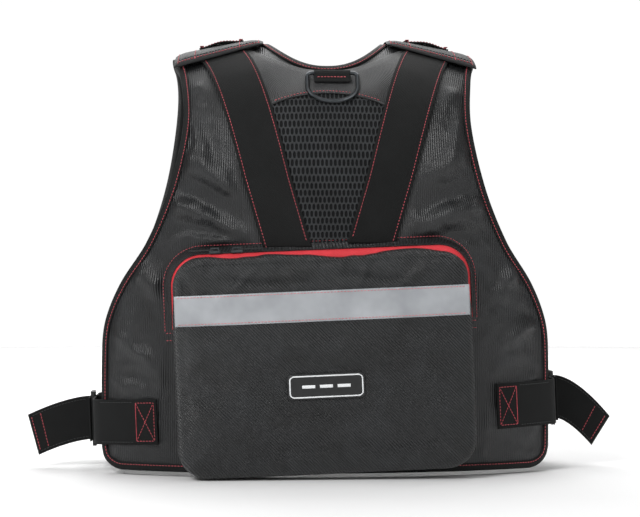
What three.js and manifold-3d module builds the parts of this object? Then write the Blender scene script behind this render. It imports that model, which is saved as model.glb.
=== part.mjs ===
// Padded game vest worn over a jacket: back panel, two zipped front panels, a bellows pocket on
// the back, a ring for a net, and a waist belt tightened at the sides.
// Millimetres, +Z up, the wearer faces +Y and the back pocket faces -Y. The origin lies on the
// torso's axis at the height of the hem.
import * as THREE from 'three';
import { mergeVertices } from 'three/addons/utils/BufferGeometryUtils.js';
import Module from 'manifold-3d';

const wasm = await Module();
wasm.setup();

// ---- Driving dimensions -------------------------------------------------------------------

// The form that the vest is worn on: an oval chest below an arch over the shoulders.
const chestHalfWidth = 275;
const chestHalfDepth = 120;
const archFoot = 320;
const archRise = 150;
const shoulderFall = 0.2;
const shoulderFallStart = 65;
const shoulderFallBlend = 30;

// Panels, from the wearer outwards: lining, foam and shell.
const liningThickness = 1;
const foamThickness = 8;
const shellThickness = 1;
const layerGap = 0.6;
const hemHalfWidth = 242;
const shoulderHalfWidth = 170;
const neckHalfWidth = 65;
const backNeckDrop = 90;
const frontNeckDrop = 150;
const backNeckPower = 2.2;
const frontNeckPower = 1.35;
const hemCornerRadius = 22;
const frontOpeningHalf = 9;
const seamGap = 0.9;

// Half width of the panels at a distance from the hem, measured over the back or the front.
const backArmhole = [
  [0, 0], [130, 0], [165, -4], [205, -20], [250, -48], [312, -73], [379, -87], [440, -84],
];
const frontArmhole = [
  [0, 0], [130, 0], [165, -4], [205, -18], [250, -41], [312, -61], [379, -73], [440, -77],
];

// Binding folded over the panels' edges.
const bindingWall = 1;
const bindingLeg = 6;
const bindingGap = 0.8;
const bindingSplay = 1.9;

// Webbing, its seat on the shell, and the thin cloth pieces sewn onto the shell.
const webbingWidth = 50;
const webbingThickness = 1.8;
const patchThickness = 1;
const seatGap = 0.4;
const braceTopOffset = 106;
const braceTopHeight = 441;
const braceFootOffset = 49.5;
const braceFootHeight = 263;
const meshArcHeight = 400;
const meshArcRise = 12;
const meshCornerOffset = 60;
const edgeGap = 1.2;
const braceHeadGap = 12;

// Padded yokes over the shoulders, each with a loop.
const yokeThickness = 3;
const yokeNeckHeight = 461;
const yokeEdgeFall = 0.28;
const yokeInset = 3;
const yokeClearance = 0.3;
const loopLength = 50;
const loopWidth = 38;
const loopThickness = 1.6;
const loopRaise = 3;
const loopOffset = 114;

// Ring for a landing net, hung in a folded webbing keeper.
const ringRod = 4.6;
const ringInnerWidth = 51;
const ringDrop = 38;
const ringOffset = 5;
const ringHeight = 427;
const ringLift = 1.2;
const ringCorner = 5;
const ringBowShare = 0.72;
const keeperWall = 1.6;
const keeperTail = 13;
const runningGap = 0.4;

// Bellows pocket on the back, sewn on a little askew, as the belt is.
const pocketTilt = 2.4;
const pocketWidth = 325;
const pocketHeight = 243;
const pocketCorner = 34;
const pocketOffset = -5.5;
const pocketMiddle = 121;
const pocketWall = 1.4;
const pocketZipDepth = 142;
const pocketRim = 9;
const pocketCrown = 10;
const zipTapeWidth = 4.6;
const zipTapeThickness = 1;
const zipCoilWidth = 4;
const zipCoilHeight = 1.6;
const zipFoot = 128;
const zipEndStep = 0.5;
const sliderLength = 12;
const sliderWall = 1;
const pullLength = 26;
const pullThickness = 1.2;
const sliderStart = 15;
const sliderPitch = 24;
const tapeHeight = 33;
const tapeMiddle = 61;
const badgeWidth = 84;
const badgeHeight = 28;
const badgeThickness = 1.2;
const badgeSlant = 6;
const tapeThickness = 0.6;
const tapeEndGap = 3;
const patchLift = 0.3;
const badgeMiddle = -25;

// Waist belt: webbing on the panels, an adjuster in each side gap, and a loose tail.
const beltHeight = 61;
const beltRoot = 182;

const beltCornerRadius = 6;
const beltPocketGap = 7;
const beltEase = 1.2;
const beltBendRun = 7;
const beltBendEnd = 16;
const foldCrown = 0.6;
const foldSide = 0.7;
const adjusterBar = 5;
const adjusterSlot = 8;
const adjusterThickness = 4;
const adjusterMargin = 5;
const tailLengthLeft = 71;
const tailLengthRight = 58;
const tailRoot = 34;
const tailShift = 1.4;
const tailStraight = 6;
const tailDroopLeft = 17;
const tailDroopRight = 42;

// Front: centre zip, chest pockets and lower pockets.
const frontZipSeat = 5;
const frontCoilWidth = 5.6;
const frontCoilHeight = 2.2;
const frontSliderLength = 15;
const frontPullLength = 32;
const chestPocketWidth = 94;
const chestPocketHeight = 96;
const chestPocketOffset = 114;
const chestPocketMiddle = 303;
const chestZipLength = 62;
const chestZipMiddle = 292;
const chestZipWidth = 14;
const lowerPocketWidth = 170;
const lowerPocketHeight = 135;
const lowerPocketOffset = 118;
const lowerPocketMiddle = 103;
const frontPocketDepth = 22;
const frontPocketWall = 1.4;
const flapHeight = 42;
const flapThickness = 1.4;

// ---- Values worked out from the driving dimensions ----------------------------------------

const archLength = Math.PI * Math.sqrt((chestHalfDepth ** 2 + archRise ** 2) / 2);
const crest = archFoot + archLength / 2;
const foamInner = liningThickness + layerGap;
const shellInner = foamInner + foamThickness + layerGap;
const shellOuter = shellInner + shellThickness;
const patchInner = shellOuter + seatGap;
const patchOuter = patchInner + patchThickness;
const braceOuter = patchInner + webbingThickness;
const bindingOuter = shellOuter + bindingGap + bindingWall;
const yokeInner = Math.max(braceOuter, bindingOuter) + seatGap + yokeClearance;
const tilt = THREE.MathUtils.degToRad(pocketTilt);

// ---- Colours and finishes -----------------------------------------------------------------

function finish(color, roughness, metalness = 0) {
  return new THREE.MeshStandardMaterial({ color, roughness, metalness });
}
const shellCloth = finish('#2b2e31', 0.55);
const liningMesh = finish('#1d1f20', 0.85);
const foam = finish('#8a8c8c', 0.95);
const bindingTape = finish('#17191a', 0.75);
const webbing = finish('#1b1d1d', 0.85);
const yokeCloth = finish('#26282a', 0.6);
const airMesh = finish('#323637', 0.8);
const redTape = finish('#d9343c', 0.7);
const blackCoil = finish('#151515', 0.4);
const gunmetal = finish('#6b6e71', 0.35, 1);
const cord = finish('#161616', 0.7);
const reflective = finish('#b5b7bb', 0.35, 0.2);
const badgeRubber = finish('#e8e9ea', 0.6);
const acetal = finish('#141516', 0.45);

const vest = new THREE.Group();

function add(parent, name, geometry, material) {
  const mesh = new THREE.Mesh(geometry, material);
  mesh.name = name;
  parent.add(mesh);
  return mesh;
}

// ---- The torso surface --------------------------------------------------------------------

// A point of the surface is named by x and by its girth: the distance from the back hem up the
// back, over the shoulder and down the front.
function archRiseAt(x) {
  const beyond = Math.abs(x) - shoulderFallStart;
  return archRise - shoulderFall * (Math.hypot(beyond, shoulderFallBlend) + beyond) / 2;
}

function torso(x, girth) {
  const depth = chestHalfDepth * Math.sqrt(1 - (x / chestHalfWidth) ** 2);
  if (girth < archFoot) return new THREE.Vector3(x, -depth, girth);
  if (girth > archFoot + archLength) return new THREE.Vector3(x, depth, 2 * crest - girth);
  const turn = Math.PI * (girth - archFoot) / archLength;
  return new THREE.Vector3(x, -depth * Math.cos(turn), archFoot + archRiseAt(x) * Math.sin(turn));
}

function torsoNormal(x, girth) {
  const step = 0.5;
  const alongX = torso(x + step, girth).sub(torso(x - step, girth));
  const alongGirth = torso(x, girth + step).sub(torso(x, girth - step));
  return alongX.cross(alongGirth).normalize();
}

function onTorso(x, girth, stand) {
  return torso(x, girth).addScaledVector(torsoNormal(x, girth), stand);
}

// Girth of the point of the back at a height.
function backGirth(x, height) {
  if (height <= archFoot) return height;
  const turn = Math.asin(Math.min(1, (height - archFoot) / archRiseAt(x)));
  return archFoot + archLength * turn / Math.PI;
}

// ---- Solid builders -----------------------------------------------------------------------

// Smooth curve through [place, value] pairs.
function through(points) {
  return (place) => {
    const last = points.length - 1;
    if (place <= points[0][0]) return points[0][1];
    if (place >= points[last][0]) return points[last][1];
    const i = points.findIndex((point) => point[0] > place) - 1;
    const slope = (k) => {
      if (k <= 0 || k >= last) return 0;
      return (points[k + 1][1] - points[k - 1][1]) / (points[k + 1][0] - points[k - 1][0]);
    };
    const span = points[i + 1][0] - points[i][0];
    const t = (place - points[i][0]) / span;
    const rise = points[i + 1][1] - points[i][1];
    const near = slope(i) * span;
    const far = slope(i + 1) * span;
    return points[i][1] + t * near + t * t * (3 * rise - 2 * near - far) + t ** 3 * (near + far - 2 * rise);
  };
}

function geometryOf(points, triangles) {
  let volume = 0;
  for (const [i, j, k] of triangles) volume += points[i].dot(points[j].clone().cross(points[k]));
  const index = triangles.flatMap(([i, j, k]) => (volume < 0 ? [i, k, j] : [i, j, k]));
  const geometry = new THREE.BufferGeometry();
  geometry.setAttribute('position', new THREE.Float32BufferAttribute(points.flatMap((p) => p.toArray()), 3));
  geometry.setIndex(index);
  return geometry;
}

// Solid between two skins over one grid: place(a, b, side) gives the skin's point, side 0 or 1.
function slab(place, across, along) {
  const points = [];
  const triangles = [];
  const columns = across.length;
  const layer = columns * along.length;
  for (const side of [0, 1]) {
    for (const b of along) {
      for (const a of across) points.push(place(a, b, side));
    }
  }
  const quad = (p, q, r, s) => triangles.push([p, q, r], [p, r, s]);
  for (let j = 0; j + 1 < along.length; j += 1) {
    for (let i = 0; i + 1 < columns; i += 1) {
      const p = j * columns + i;
      quad(p, p + columns, p + columns + 1, p + 1);
      quad(layer + p, layer + p + 1, layer + p + columns + 1, layer + p + columns);
    }
  }
  for (let i = 0; i + 1 < columns; i += 1) {
    const top = layer - columns + i;
    quad(i, i + 1, layer + i + 1, layer + i);
    quad(top, layer + top, layer + top + 1, top + 1);
  }
  for (let j = 0; j + 1 < along.length; j += 1) {
    const left = j * columns;
    const right = left + columns - 1;
    quad(left, layer + left, layer + left + columns, left + columns);
    quad(right, right + columns, layer + right + columns, layer + right);
  }
  return geometryOf(points, triangles);
}

// The sweep of a flat outline [[inward, out], ...] along a path of frames.
function sweep(frames, outline, closed = false) {
  const size = outline.length;
  const spans = closed ? frames.length : frames.length - 1;
  const points = frames.flatMap(({ at, inward, out }) => outline.map(([u, v]) => at.clone()
    .addScaledVector(inward, u).addScaledVector(out, v)));
  const triangles = [];
  for (let i = 0; i < spans; i += 1) {
    const near = i * size;
    const far = ((i + 1) % frames.length) * size;
    for (let k = 0; k < size; k += 1) {
      const next = (k + 1) % size;
      triangles.push([near + k, far + k, far + next], [near + k, far + next, near + next]);
    }
  }
  if (closed) return geometryOf(points, triangles);
  const flat = outline.map(([u, v]) => new THREE.Vector2(u, v));
  const sign = Math.sign(THREE.ShapeUtils.area(flat));
  const last = (frames.length - 1) * size;
  for (const corners of THREE.ShapeUtils.triangulateShape(flat, [])) {
    const same = Math.sign(THREE.ShapeUtils.area(corners.map((k) => flat[k]))) === sign;
    const [i, j, k] = same ? corners : [...corners].reverse();
    triangles.push([i, j, k], [last + i, last + k, last + j]);
  }
  return geometryOf(points, triangles);
}

// One solid joined from solids that overlap.
function join(...geometries) {
  const solids = geometries.map((geometry) => {
    const bare = geometry.clone();
    bare.deleteAttribute('normal');
    bare.deleteAttribute('uv');
    const merged = mergeVertices(bare, 1e-4);
    return new wasm.Manifold(new wasm.Mesh({
      numProp: 3,
      vertProperties: new Float32Array(merged.attributes.position.array),
      triVerts: new Uint32Array(merged.index.array),
    }));
  });
  const { vertProperties, triVerts } = solids.reduce((one, next) => one.add(next)).getMesh();
  const geometry = new THREE.BufferGeometry();
  geometry.setAttribute('position', new THREE.Float32BufferAttribute(vertProperties, 3));
  geometry.setIndex([...triVerts]);
  return geometry;
}

// Even steps from 0 to 1.
const steps = (count) => Array.from({ length: count + 1 }, (_, i) => i / count);

// Frames along a path of [x, girth] pairs on the torso; inward points to the path's left or right.
function torsoFrames(path, side) {
  const at = path.map(([x, girth]) => torso(x, girth));
  return path.map(([x, girth], i) => {
    const before = at[Math.max(0, i - 1)];
    const after = at[Math.min(path.length - 1, i + 1)];
    const out = torsoNormal(x, girth);
    const inward = out.clone().cross(after.clone().sub(before)).normalize().multiplyScalar(side);
    return { at: at[i], inward, out };
  });
}

// Plate with an outline [[u, v], ...] as a Shape, extruded by depth.
function plate(outline, depth, holes = []) {
  const shape = new THREE.Shape(outline.map(([u, v]) => new THREE.Vector2(u, v)));
  for (const hole of holes) shape.holes.push(new THREE.Path(hole.map(([u, v]) => new THREE.Vector2(u, v))));
  return new THREE.ExtrudeGeometry(shape, { depth, bevelEnabled: false, steps: 1 });
}

function rectangle(u0, v0, u1, v1) {
  return [[u0, v0], [u1, v0], [u1, v1], [u0, v1]];
}

function arc(u, v, radius, from, to, count) {
  return steps(count).map((t) => {
    const angle = THREE.MathUtils.degToRad(from + (to - from) * t);
    return [u + radius * Math.cos(angle), v + radius * Math.sin(angle)];
  });
}

// ---- Panels -------------------------------------------------------------------------------

const toShoulder = [crest, shoulderHalfWidth - hemHalfWidth];
const backCut = through([...backArmhole, toShoulder]);
const frontCut = through([...frontArmhole, toShoulder]);
const backHalfWidth = (girth) => hemHalfWidth + backCut(girth);
const frontHalfWidth = (run) => hemHalfWidth + frontCut(run);

// How far the neck hole reaches below the shoulder line at x.
function neckDrop(x, drop, power) {
  const share = Math.min(1, Math.abs(x) / neckHalfWidth);
  return drop * (1 - share ** power) ** (1 / power);
}

// Rise of the hem at x, round at the corner.
function hemRise(x) {
  const past = Math.abs(x) - (hemHalfWidth - hemCornerRadius);
  if (past <= 0) return 0;
  return hemCornerRadius - Math.sqrt(Math.max(0, hemCornerRadius ** 2 - past ** 2));
}

// Point of a panel: a runs over its width from the middle (0) to its side edge (1, or -1 on the
// left), b up from the hem (0) to the shoulder line or neck (1). Returns [x, girth].
function backPanel(a, b) {
  const hem = hemRise(a * hemHalfWidth);
  const drop = neckDrop(a * shoulderHalfWidth, backNeckDrop, backNeckPower);
  const girth = hem + b * (crest - hem) - b ** 3 * drop;
  return [a * backHalfWidth(girth), girth];
}

function frontPanel(side, a, b) {
  const across = (half) => frontOpeningHalf + a * (half - frontOpeningHalf);
  const hem = hemRise(across(hemHalfWidth));
  const drop = neckDrop(across(shoulderHalfWidth), frontNeckDrop, frontNeckPower);
  const run = hem + b * (crest - seamGap - hem) - b ** 3 * drop;
  return [side * across(frontHalfWidth(run)), 2 * crest - run];
}

const neckShare = neckHalfWidth / shoulderHalfWidth;
const halfColumns = [0.12, 0.22, 0.3, 0.345, 0.368, 0.379, neckShare, 0.5, 0.66, 0.8, 0.92, 1];
const backColumns = [...halfColumns.map((a) => -a).reverse(), 0, ...halfColumns];
const panelRows = [0, 0.12, 0.24, 0.31, 0.385, 0.47, 0.585, 0.66, 0.73, 0.8, 0.87, 0.93, 0.98, 1];
const frontNeckShare = (neckHalfWidth - frontOpeningHalf) / (shoulderHalfWidth - frontOpeningHalf);
const frontColumns = [0, 0.09, 0.18, 0.26, 0.32, frontNeckShare, 0.5, 0.66, 0.8, 0.92, 1];

function addPanel(name, panel, columns, inner, outer, material) {
  const place = (a, b, side) => onTorso(...panel(a, b), side ? outer : inner);
  return add(vest, name, slab(place, columns, panelRows), material);
}

const layers = [
  ['lining', 0, liningThickness, liningMesh],
  ['foam', foamInner, foamInner + foamThickness, foam],
  ['shell', shellInner, shellOuter, shellCloth],
];
const sides = [['left', -1], ['right', 1]];
for (const [layer, inner, outer, material] of layers) {
  addPanel(`back_${layer}`, backPanel, backColumns, inner, outer, material);
  for (const [label, side] of sides) {
    const panel = (a, b) => frontPanel(side, a, b);
    addPanel(`front_${layer}_${label}`, panel, frontColumns, inner, outer, material);
  }
}

// ---- Binding ------------------------------------------------------------------------------

const bindingOutline = [
  [-bindingGap - bindingWall, -bindingGap - bindingWall],
  [bindingLeg, -bindingGap - bindingSplay - bindingWall],
  [bindingLeg, -bindingGap - bindingSplay], [-bindingGap, -bindingGap],
  [-bindingGap, shellOuter + bindingGap], [bindingLeg, bindingOuter - bindingWall + bindingSplay / 4],
  [bindingLeg, bindingOuter + bindingSplay / 4], [-bindingGap - bindingWall, bindingOuter],
];
const down = (list) => [...list].reverse();
const backEdge = [
  ...down(panelRows).map((b) => backPanel(-1, b)),
  ...backColumns.slice(1, -1).map((a) => backPanel(a, 0)),
  ...panelRows.map((b) => backPanel(1, b)),
];
add(vest, 'back_binding', sweep(torsoFrames(backEdge, 1), bindingOutline), bindingTape);
for (const [label, side] of sides) {
  const edge = [
    ...down(panelRows).map((b) => frontPanel(side, 1, b)),
    ...down(frontColumns.slice(1, -1)).map((a) => frontPanel(side, a, 0)),
    frontPanel(side, 0, 0),
  ];
  add(vest, `front_binding_${label}`, sweep(torsoFrames(edge, side), bindingOutline), bindingTape);
}

// ---- Back pocket: its outline -------------------------------------------------------------

// Height of the pocket's top edge at x, on the tilted outline.
function pocketTopAt(x) {
  return pocketMiddle + pocketHeight / 2 + (x - pocketOffset) * Math.tan(tilt) + edgeGap;
}

// ---- Cloth sewn onto the back -------------------------------------------------------------

// Strip over the torso between two edges: edge(b, 0) and edge(b, 1) give [x, girth].
function strip(edge, inner, outer, columns, rows) {
  const place = (a, b, side) => {
    const [x0, g0] = edge(b, 0);
    const [x1, g1] = edge(b, 1);
    return onTorso(x0 + a * (x1 - x0), g0 + a * (g1 - g0), side ? outer : inner);
  };
  return slab(place, steps(columns), steps(rows));
}

const braceRun = new THREE.Vector2(
  braceTopOffset - braceFootOffset,
  backGirth(braceTopOffset, braceTopHeight) - braceFootHeight,
);
const braceDirection = braceRun.clone().normalize();
const braceStart = (pocketTopAt(braceFootOffset) - braceFootHeight) / braceDirection.y;
const braceEnd = (crest - seamGap - braceHeadGap - braceFootHeight) / braceDirection.y;

// Point of a brace: a distance up it from its foot, and a distance outwards from its middle.
function onBrace(side, up, outwards) {
  const x = braceFootOffset + braceDirection.x * up + braceDirection.y * outwards;
  const girth = braceFootHeight + braceDirection.y * up - braceDirection.x * outwards;
  return [side * x, girth];
}

// The brace's inner edge at a girth.
function braceInnerEdge(girth) {
  const up = (girth - braceFootHeight - braceDirection.x * webbingWidth / 2) / braceDirection.y;
  return onBrace(1, up, -webbingWidth / 2)[0];
}

for (const [label, side] of sides) {
  const edge = (b, a) => {
    const outwards = (a - 0.5) * webbingWidth;
    const foot = braceStart + braceDirection.x * (outwards + webbingWidth / 2) / braceDirection.y;
    return onBrace(side, foot + b * (braceEnd - foot), outwards);
  };
  add(vest, `back_brace_${label}`, strip(edge, patchInner, braceOuter, 3, 18), webbing);
}

// Mesh ventilation panel between the braces, with an arched top, and the yoke patch above it.
const meshArcHalf = braceInnerEdge(meshArcHeight);
const meshTop = (x) => backGirth(x, meshArcHeight + meshArcRise * (1 - (x / meshArcHalf) ** 2));
const meshFoot = pocketTopAt(0) + edgeGap;
const meshPlace = (a, b, side) => {
  const limit = meshTop(a * (braceInnerEdge(backGirth(meshCornerOffset, meshArcHeight)) - edgeGap));
  const girth = meshFoot + b * (limit - meshFoot);
  return onTorso(a * (braceInnerEdge(girth) - edgeGap), girth, side ? patchOuter : patchInner);
};
const spread = (count) => steps(count).map((t) => 2 * t - 1);
add(vest, 'mesh_panel', slab(meshPlace, spread(8), steps(9)), airMesh);

const patchPlace = (a, b, side) => {
  const span = braceInnerEdge(backGirth(meshCornerOffset, meshArcHeight)) - edgeGap;
  const foot = meshTop(a * span) + edgeGap;
  const top = crest - backNeckDrop - bindingLeg - bindingGap - edgeGap;
  const girth = foot + b * (top - foot);
  return onTorso(a * (braceInnerEdge(girth) - edgeGap), girth, side ? patchOuter : patchInner);
};
add(vest, 'back_yoke', slab(patchPlace, spread(8), steps(3)), shellCloth);

// ---- Neck binding -------------------------------------------------------------------------

const neckEnd = frontColumns.indexOf(frontNeckShare);
const frontNeck = (side) => frontColumns.slice(0, neckEnd + 1).map((a) => frontPanel(side, a, 1));
const backNeck = backColumns.filter((a) => Math.abs(a) <= neckShare).map((a) => backPanel(a, 1));
const neckEdge = [...frontNeck(-1).slice(0, -1), ...backNeck, ...down(frontNeck(1)).slice(1)];
add(vest, 'neck_binding', sweep(torsoFrames(neckEdge, -1), bindingOutline), bindingTape);

// ---- Shoulder yokes and their loops -------------------------------------------------------

for (const [label, side] of sides) {
  const yokeEdge = (b, a) => {
    const x = neckHalfWidth + yokeInset + a * (shoulderHalfWidth - neckHalfWidth - 2 * yokeInset);
    const reach = crest - backGirth(x, yokeNeckHeight - yokeEdgeFall * (x - neckHalfWidth));
    return [side * x, crest + (2 * b - 1) * reach];
  };
  const place = (a, b, face) => {
    const fade = Math.min(1, 6 * Math.min(a, 1 - a) + 0.4, 8 * Math.min(b, 1 - b) + 0.4);
    return onTorso(...yokeEdge(b, a), yokeInner + (face ? yokeThickness * fade : 0));
  };
  add(vest, `shoulder_yoke_${label}`, slab(place, [0, 0.1, 0.3, 0.5, 0.7, 0.9, 1], steps(12)), yokeCloth);
  const loopSeat = yokeInner + yokeThickness + seatGap;
  const loopPlace = (a, b, face) => {
    const x = loopOffset + (a - 0.5) * loopLength;
    const raise = loopRaise * Math.sin(Math.PI * a) ** 2;
    return onTorso(side * x, crest + (b - 0.5) * loopWidth, loopSeat + raise + face * loopThickness);
  };
  add(vest, `shoulder_loop_${label}`, slab(loopPlace, steps(8), steps(4)), webbing);
}

// ---- Net ring and its keeper --------------------------------------------------------------

const ringGirth = backGirth(ringOffset, ringHeight);
const keeperInner = ringRod / 2 + runningGap;
const keeperOuter = keeperInner + keeperWall;
const ringSeat = onTorso(ringOffset, ringGirth, patchOuter + seatGap + keeperOuter);
const ringFoot = onTorso(ringOffset, ringGirth - ringDrop, patchOuter + seatGap + ringRod / 2 + ringLift);
const ringLean = Math.atan2(ringSeat.y - ringFoot.y, ringSeat.z - ringFoot.z);
const seatNormal = torsoNormal(ringOffset, ringGirth);
const keeperLean = Math.atan2(seatNormal.z, -seatNormal.y);

// The ring group's axes: X along its bar, -Z down the leaning ring, -Y away from the back.
const ringFrame = new THREE.Group();
ringFrame.position.copy(ringSeat);
ringFrame.rotation.x = -ringLean;
vest.add(ringFrame);

const ringHalf = (ringInnerWidth + ringRod) / 2;
const bowDepth = ringHalf * ringBowShare;
const bowCentre = bowDepth - ringDrop;
const bow = steps(14).map((t) => {
  const angle = Math.PI * (1 + t);
  return [ringHalf * Math.cos(angle), bowCentre + bowDepth * Math.sin(angle)];
});
const ringLoopPoints = [
  ...arc(-ringHalf + ringCorner, -ringCorner, ringCorner, 90, 180, 4), ...bow,
  ...arc(ringHalf - ringCorner, -ringCorner, ringCorner, 0, 90, 4),
];
const rodOutline = arc(0, 0, ringRod / 2, 0, 360, 10).slice(0, -1);
const ringFrames = ringLoopPoints.map(([u, v], i) => {
  const count = ringLoopPoints.length;
  const [u0, v0] = ringLoopPoints[(i + count - 1) % count];
  const [u1, v1] = ringLoopPoints[(i + 1) % count];
  const along = new THREE.Vector3(u1 - u0, 0, v1 - v0).normalize();
  const out = new THREE.Vector3(0, -1, 0);
  return { at: new THREE.Vector3(u, 0, v), inward: out.clone().cross(along), out };
});
add(ringFrame, 'net_ring', sweep(ringFrames, rodOutline, true), gunmetal);

// Keeper: webbing folded round the ring's bar, its two tails sewn down below the bar.
const keeperHalf = ringInnerWidth / 2 - ringCorner - runningGap;
const keeperShape = new THREE.Shape();
keeperShape.absarc(0, 0, keeperOuter, Math.PI, 0, true);
keeperShape.lineTo(keeperOuter, -keeperTail);
keeperShape.lineTo(-keeperOuter, -keeperTail);
keeperShape.closePath();
const tunnel = new THREE.Path();
tunnel.absarc(0, 0, keeperInner, 0, 2 * Math.PI, false);
keeperShape.holes.push(tunnel);
const keeperGeometry = new THREE.ExtrudeGeometry(keeperShape, {
  depth: 2 * keeperHalf, bevelEnabled: false, curveSegments: 8, steps: 1,
});
keeperGeometry.translate(0, 0, -keeperHalf);
keeperGeometry.rotateX(Math.PI / 2).rotateZ(Math.PI / 2);
const keeper = add(vest, 'ring_keeper', keeperGeometry, webbing);
keeper.position.copy(ringSeat);
keeper.rotation.x = -keeperLean;

// ---- Back pocket --------------------------------------------------------------------------

// The pocket's frame: u to the right and w up along the tilted outline, y as everywhere.
const pocketFrame = new THREE.Group();
pocketFrame.position.set(pocketOffset, 0, pocketMiddle);
pocketFrame.rotation.y = -tilt;
vest.add(pocketFrame);
const fromPocket = (u, w) => [
  pocketOffset + u * Math.cos(tilt) - w * Math.sin(tilt),
  pocketMiddle + u * Math.sin(tilt) + w * Math.cos(tilt),
];

// Points of the outline moved in by an inset, clockwise from the middle of the foot. A short step
// on each side marks where the zip ends.
const straight = (from, to, count) => steps(count).slice(1, -1).map((t) => [
  from[0] + (to[0] - from[0]) * t, from[1] + (to[1] - from[1]) * t,
]);
function pocketOutline(inset) {
  const u = pocketWidth / 2 - inset;
  const w = pocketHeight / 2 - inset;
  const r = Math.max(1, pocketCorner - inset);
  const corner = (su, sw, from) => arc(su * (u - r), sw * (w - r), r, from, from - 90, 5);
  const zipEnd = -pocketHeight / 2 + pocketCorner + zipFoot;
  return [
    [0, -w], ...straight([0, -w], [-u + r, -w], 5), ...corner(-1, -1, 270),
    [-u, zipEnd - zipEndStep], [-u, zipEnd + zipEndStep],
    ...straight([-u, zipEnd + zipEndStep], [-u, w - r], 3), ...corner(-1, 1, 180),
    ...straight([-u + r, w], [u - r, w], 10), ...corner(1, 1, 90),
    ...straight([u, w - r], [u, zipEnd + zipEndStep], 3),
    [u, zipEnd + zipEndStep], [u, zipEnd - zipEndStep], ...corner(1, -1, 0),
    ...straight([u - r, -w], [0, -w], 5),
  ];
}
const zipStations = [12, pocketOutline(0).length - 12];
const zipHalf = zipTapeWidth + seatGap / 2;
const rimInner = pocketZipDepth + zipHalf + seatGap;
const faceDepth = rimInner + pocketRim;

// Ring wall round the outline from one depth to another: depth(i, [u, w]) gives [near, far].
function ringWall(inset, thickness, depth, from = 0, to = Infinity) {
  const outer = pocketOutline(inset);
  const inner = pocketOutline(inset + thickness);
  const whole = from === 0;
  const stations = outer.map((_, i) => i).slice(from, to);
  const size = 4;
  const points = stations.flatMap((i) => {
    const [near, far] = depth(i, outer[i]);
    return [
      [outer[i], near], [outer[i], far], [inner[i], far], [inner[i], near],
    ].map(([[u, w], y]) => new THREE.Vector3(u, -y, w));
  });
  const triangles = [];
  const spans = whole ? stations.length : stations.length - 1;
  for (let i = 0; i < spans; i += 1) {
    const near = i * size;
    const far = ((i + 1) % stations.length) * size;
    for (let k = 0; k < size; k += 1) {
      const next = (k + 1) % size;
      triangles.push([near + k, far + k, far + next], [near + k, far + next, near + next]);
    }
  }
  const last = (stations.length - 1) * size;
  if (!whole) triangles.push([0, 1, 2], [0, 2, 3], [last, last + 2, last + 1], [last, last + 3, last + 2]);
  return geometryOf(points, triangles);
}

// Depth of the seat on the back below a point of the outline.
function seatDepth([u, w]) {
  const [x, z] = fromPocket(u, w);
  const seat = z < 2 * bindingLeg ? bindingOuter + bindingSplay / 4 : shellOuter;
  return -torso(x, z).y - (seat + 2 * seatGap) / torsoNormal(x, z).y;
}
const inZip = (i) => i >= zipStations[0] && i < zipStations[1];
const gussetDepth = (i, at) => [
  seatDepth(at), inZip(i) ? pocketZipDepth - zipHalf - seatGap : rimInner - seatGap,
];
add(pocketFrame, 'pocket_gusset', ringWall(0, pocketWall, gussetDepth), shellCloth);

// Zip round the pocket's top and sides: a tape on each side of a coil that stands proud of them.
const zipSpan = [zipStations[0] + 1, zipStations[1] - 1];
const zipInset = (pocketWall - zipTapeThickness) / 2;
const band = (middle, width) => () => [middle - width / 2, middle + width / 2];
const tapeShift = (zipTapeWidth + seatGap) / 2;
for (const [label, shift] of [['back', -tapeShift], ['front', tapeShift]]) {
  const depth = band(pocketZipDepth + shift, zipTapeWidth);
  const tape = ringWall(zipInset, zipTapeThickness, depth, ...zipSpan);
  add(pocketFrame, `pocket_zip_tape_${label}`, tape, redTape);
}
const coilInset = zipInset - seatGap - zipCoilHeight;
const coilDepth = band(pocketZipDepth, zipCoilWidth);
add(pocketFrame, 'pocket_zip_coil', ringWall(coilInset, zipCoilHeight, coilDepth, ...zipSpan), blackCoil);

// Front of the pocket: a crowned face with its rim turned back to the zip.
// Each ring is its inset and its depth, given as millimetres up to the rim and then as a share of
// the crown.
const faceRings = [
  [0, rimInner], [0, faceDepth - 5], [1.5, faceDepth - 1.5], [6, faceDepth],
  [22, 0.45], [48, 0.8], [84, 1],
];
const faceSkin = (thickness) => faceRings.map(([inset, depth], i) => {
  const y = depth > 1 ? depth : faceDepth + depth * pocketCrown;
  return pocketOutline(inset + thickness).map(([u, w]) => new THREE.Vector3(u, i ? thickness - y : -y, w));
});
function ringedShell(outer, inner, centreOut, centreIn) {
  const rings = [...outer, ...[...inner].reverse()];
  const size = outer[0].length;
  const points = [...rings.flat(), centreOut, centreIn];
  const triangles = [];
  const turn = (near, far) => {
    for (let k = 0; k < size; k += 1) {
      const next = (k + 1) % size;
      triangles.push([near + k, far + k, far + next], [near + k, far + next, near + next]);
    }
  };
  const edge = outer.length;
  for (let i = 0; i + 1 < rings.length; i += 1) {
    if (i !== edge - 1) turn(i * size, (i + 1) * size);
  }
  turn((rings.length - 1) * size, 0);
  const cap = (base, centre, flip) => {
    for (let k = 0; k < size; k += 1) {
      const next = (k + 1) % size;
      triangles.push(flip ? [base + k, base + next, centre] : [base + k, centre, base + next]);
    }
  };
  cap((edge - 1) * size, rings.length * size, false);
  cap(edge * size, rings.length * size + 1, true);
  return geometryOf(points, triangles);
}
const faceCentre = faceDepth + pocketCrown;
const pocketFront = ringedShell(
  faceSkin(0), faceSkin(pocketWall),
  new THREE.Vector3(0, -faceCentre, 0), new THREE.Vector3(0, pocketWall - faceCentre, 0),
);
add(pocketFrame, 'pocket_front', pocketFront, shellCloth);

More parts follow.
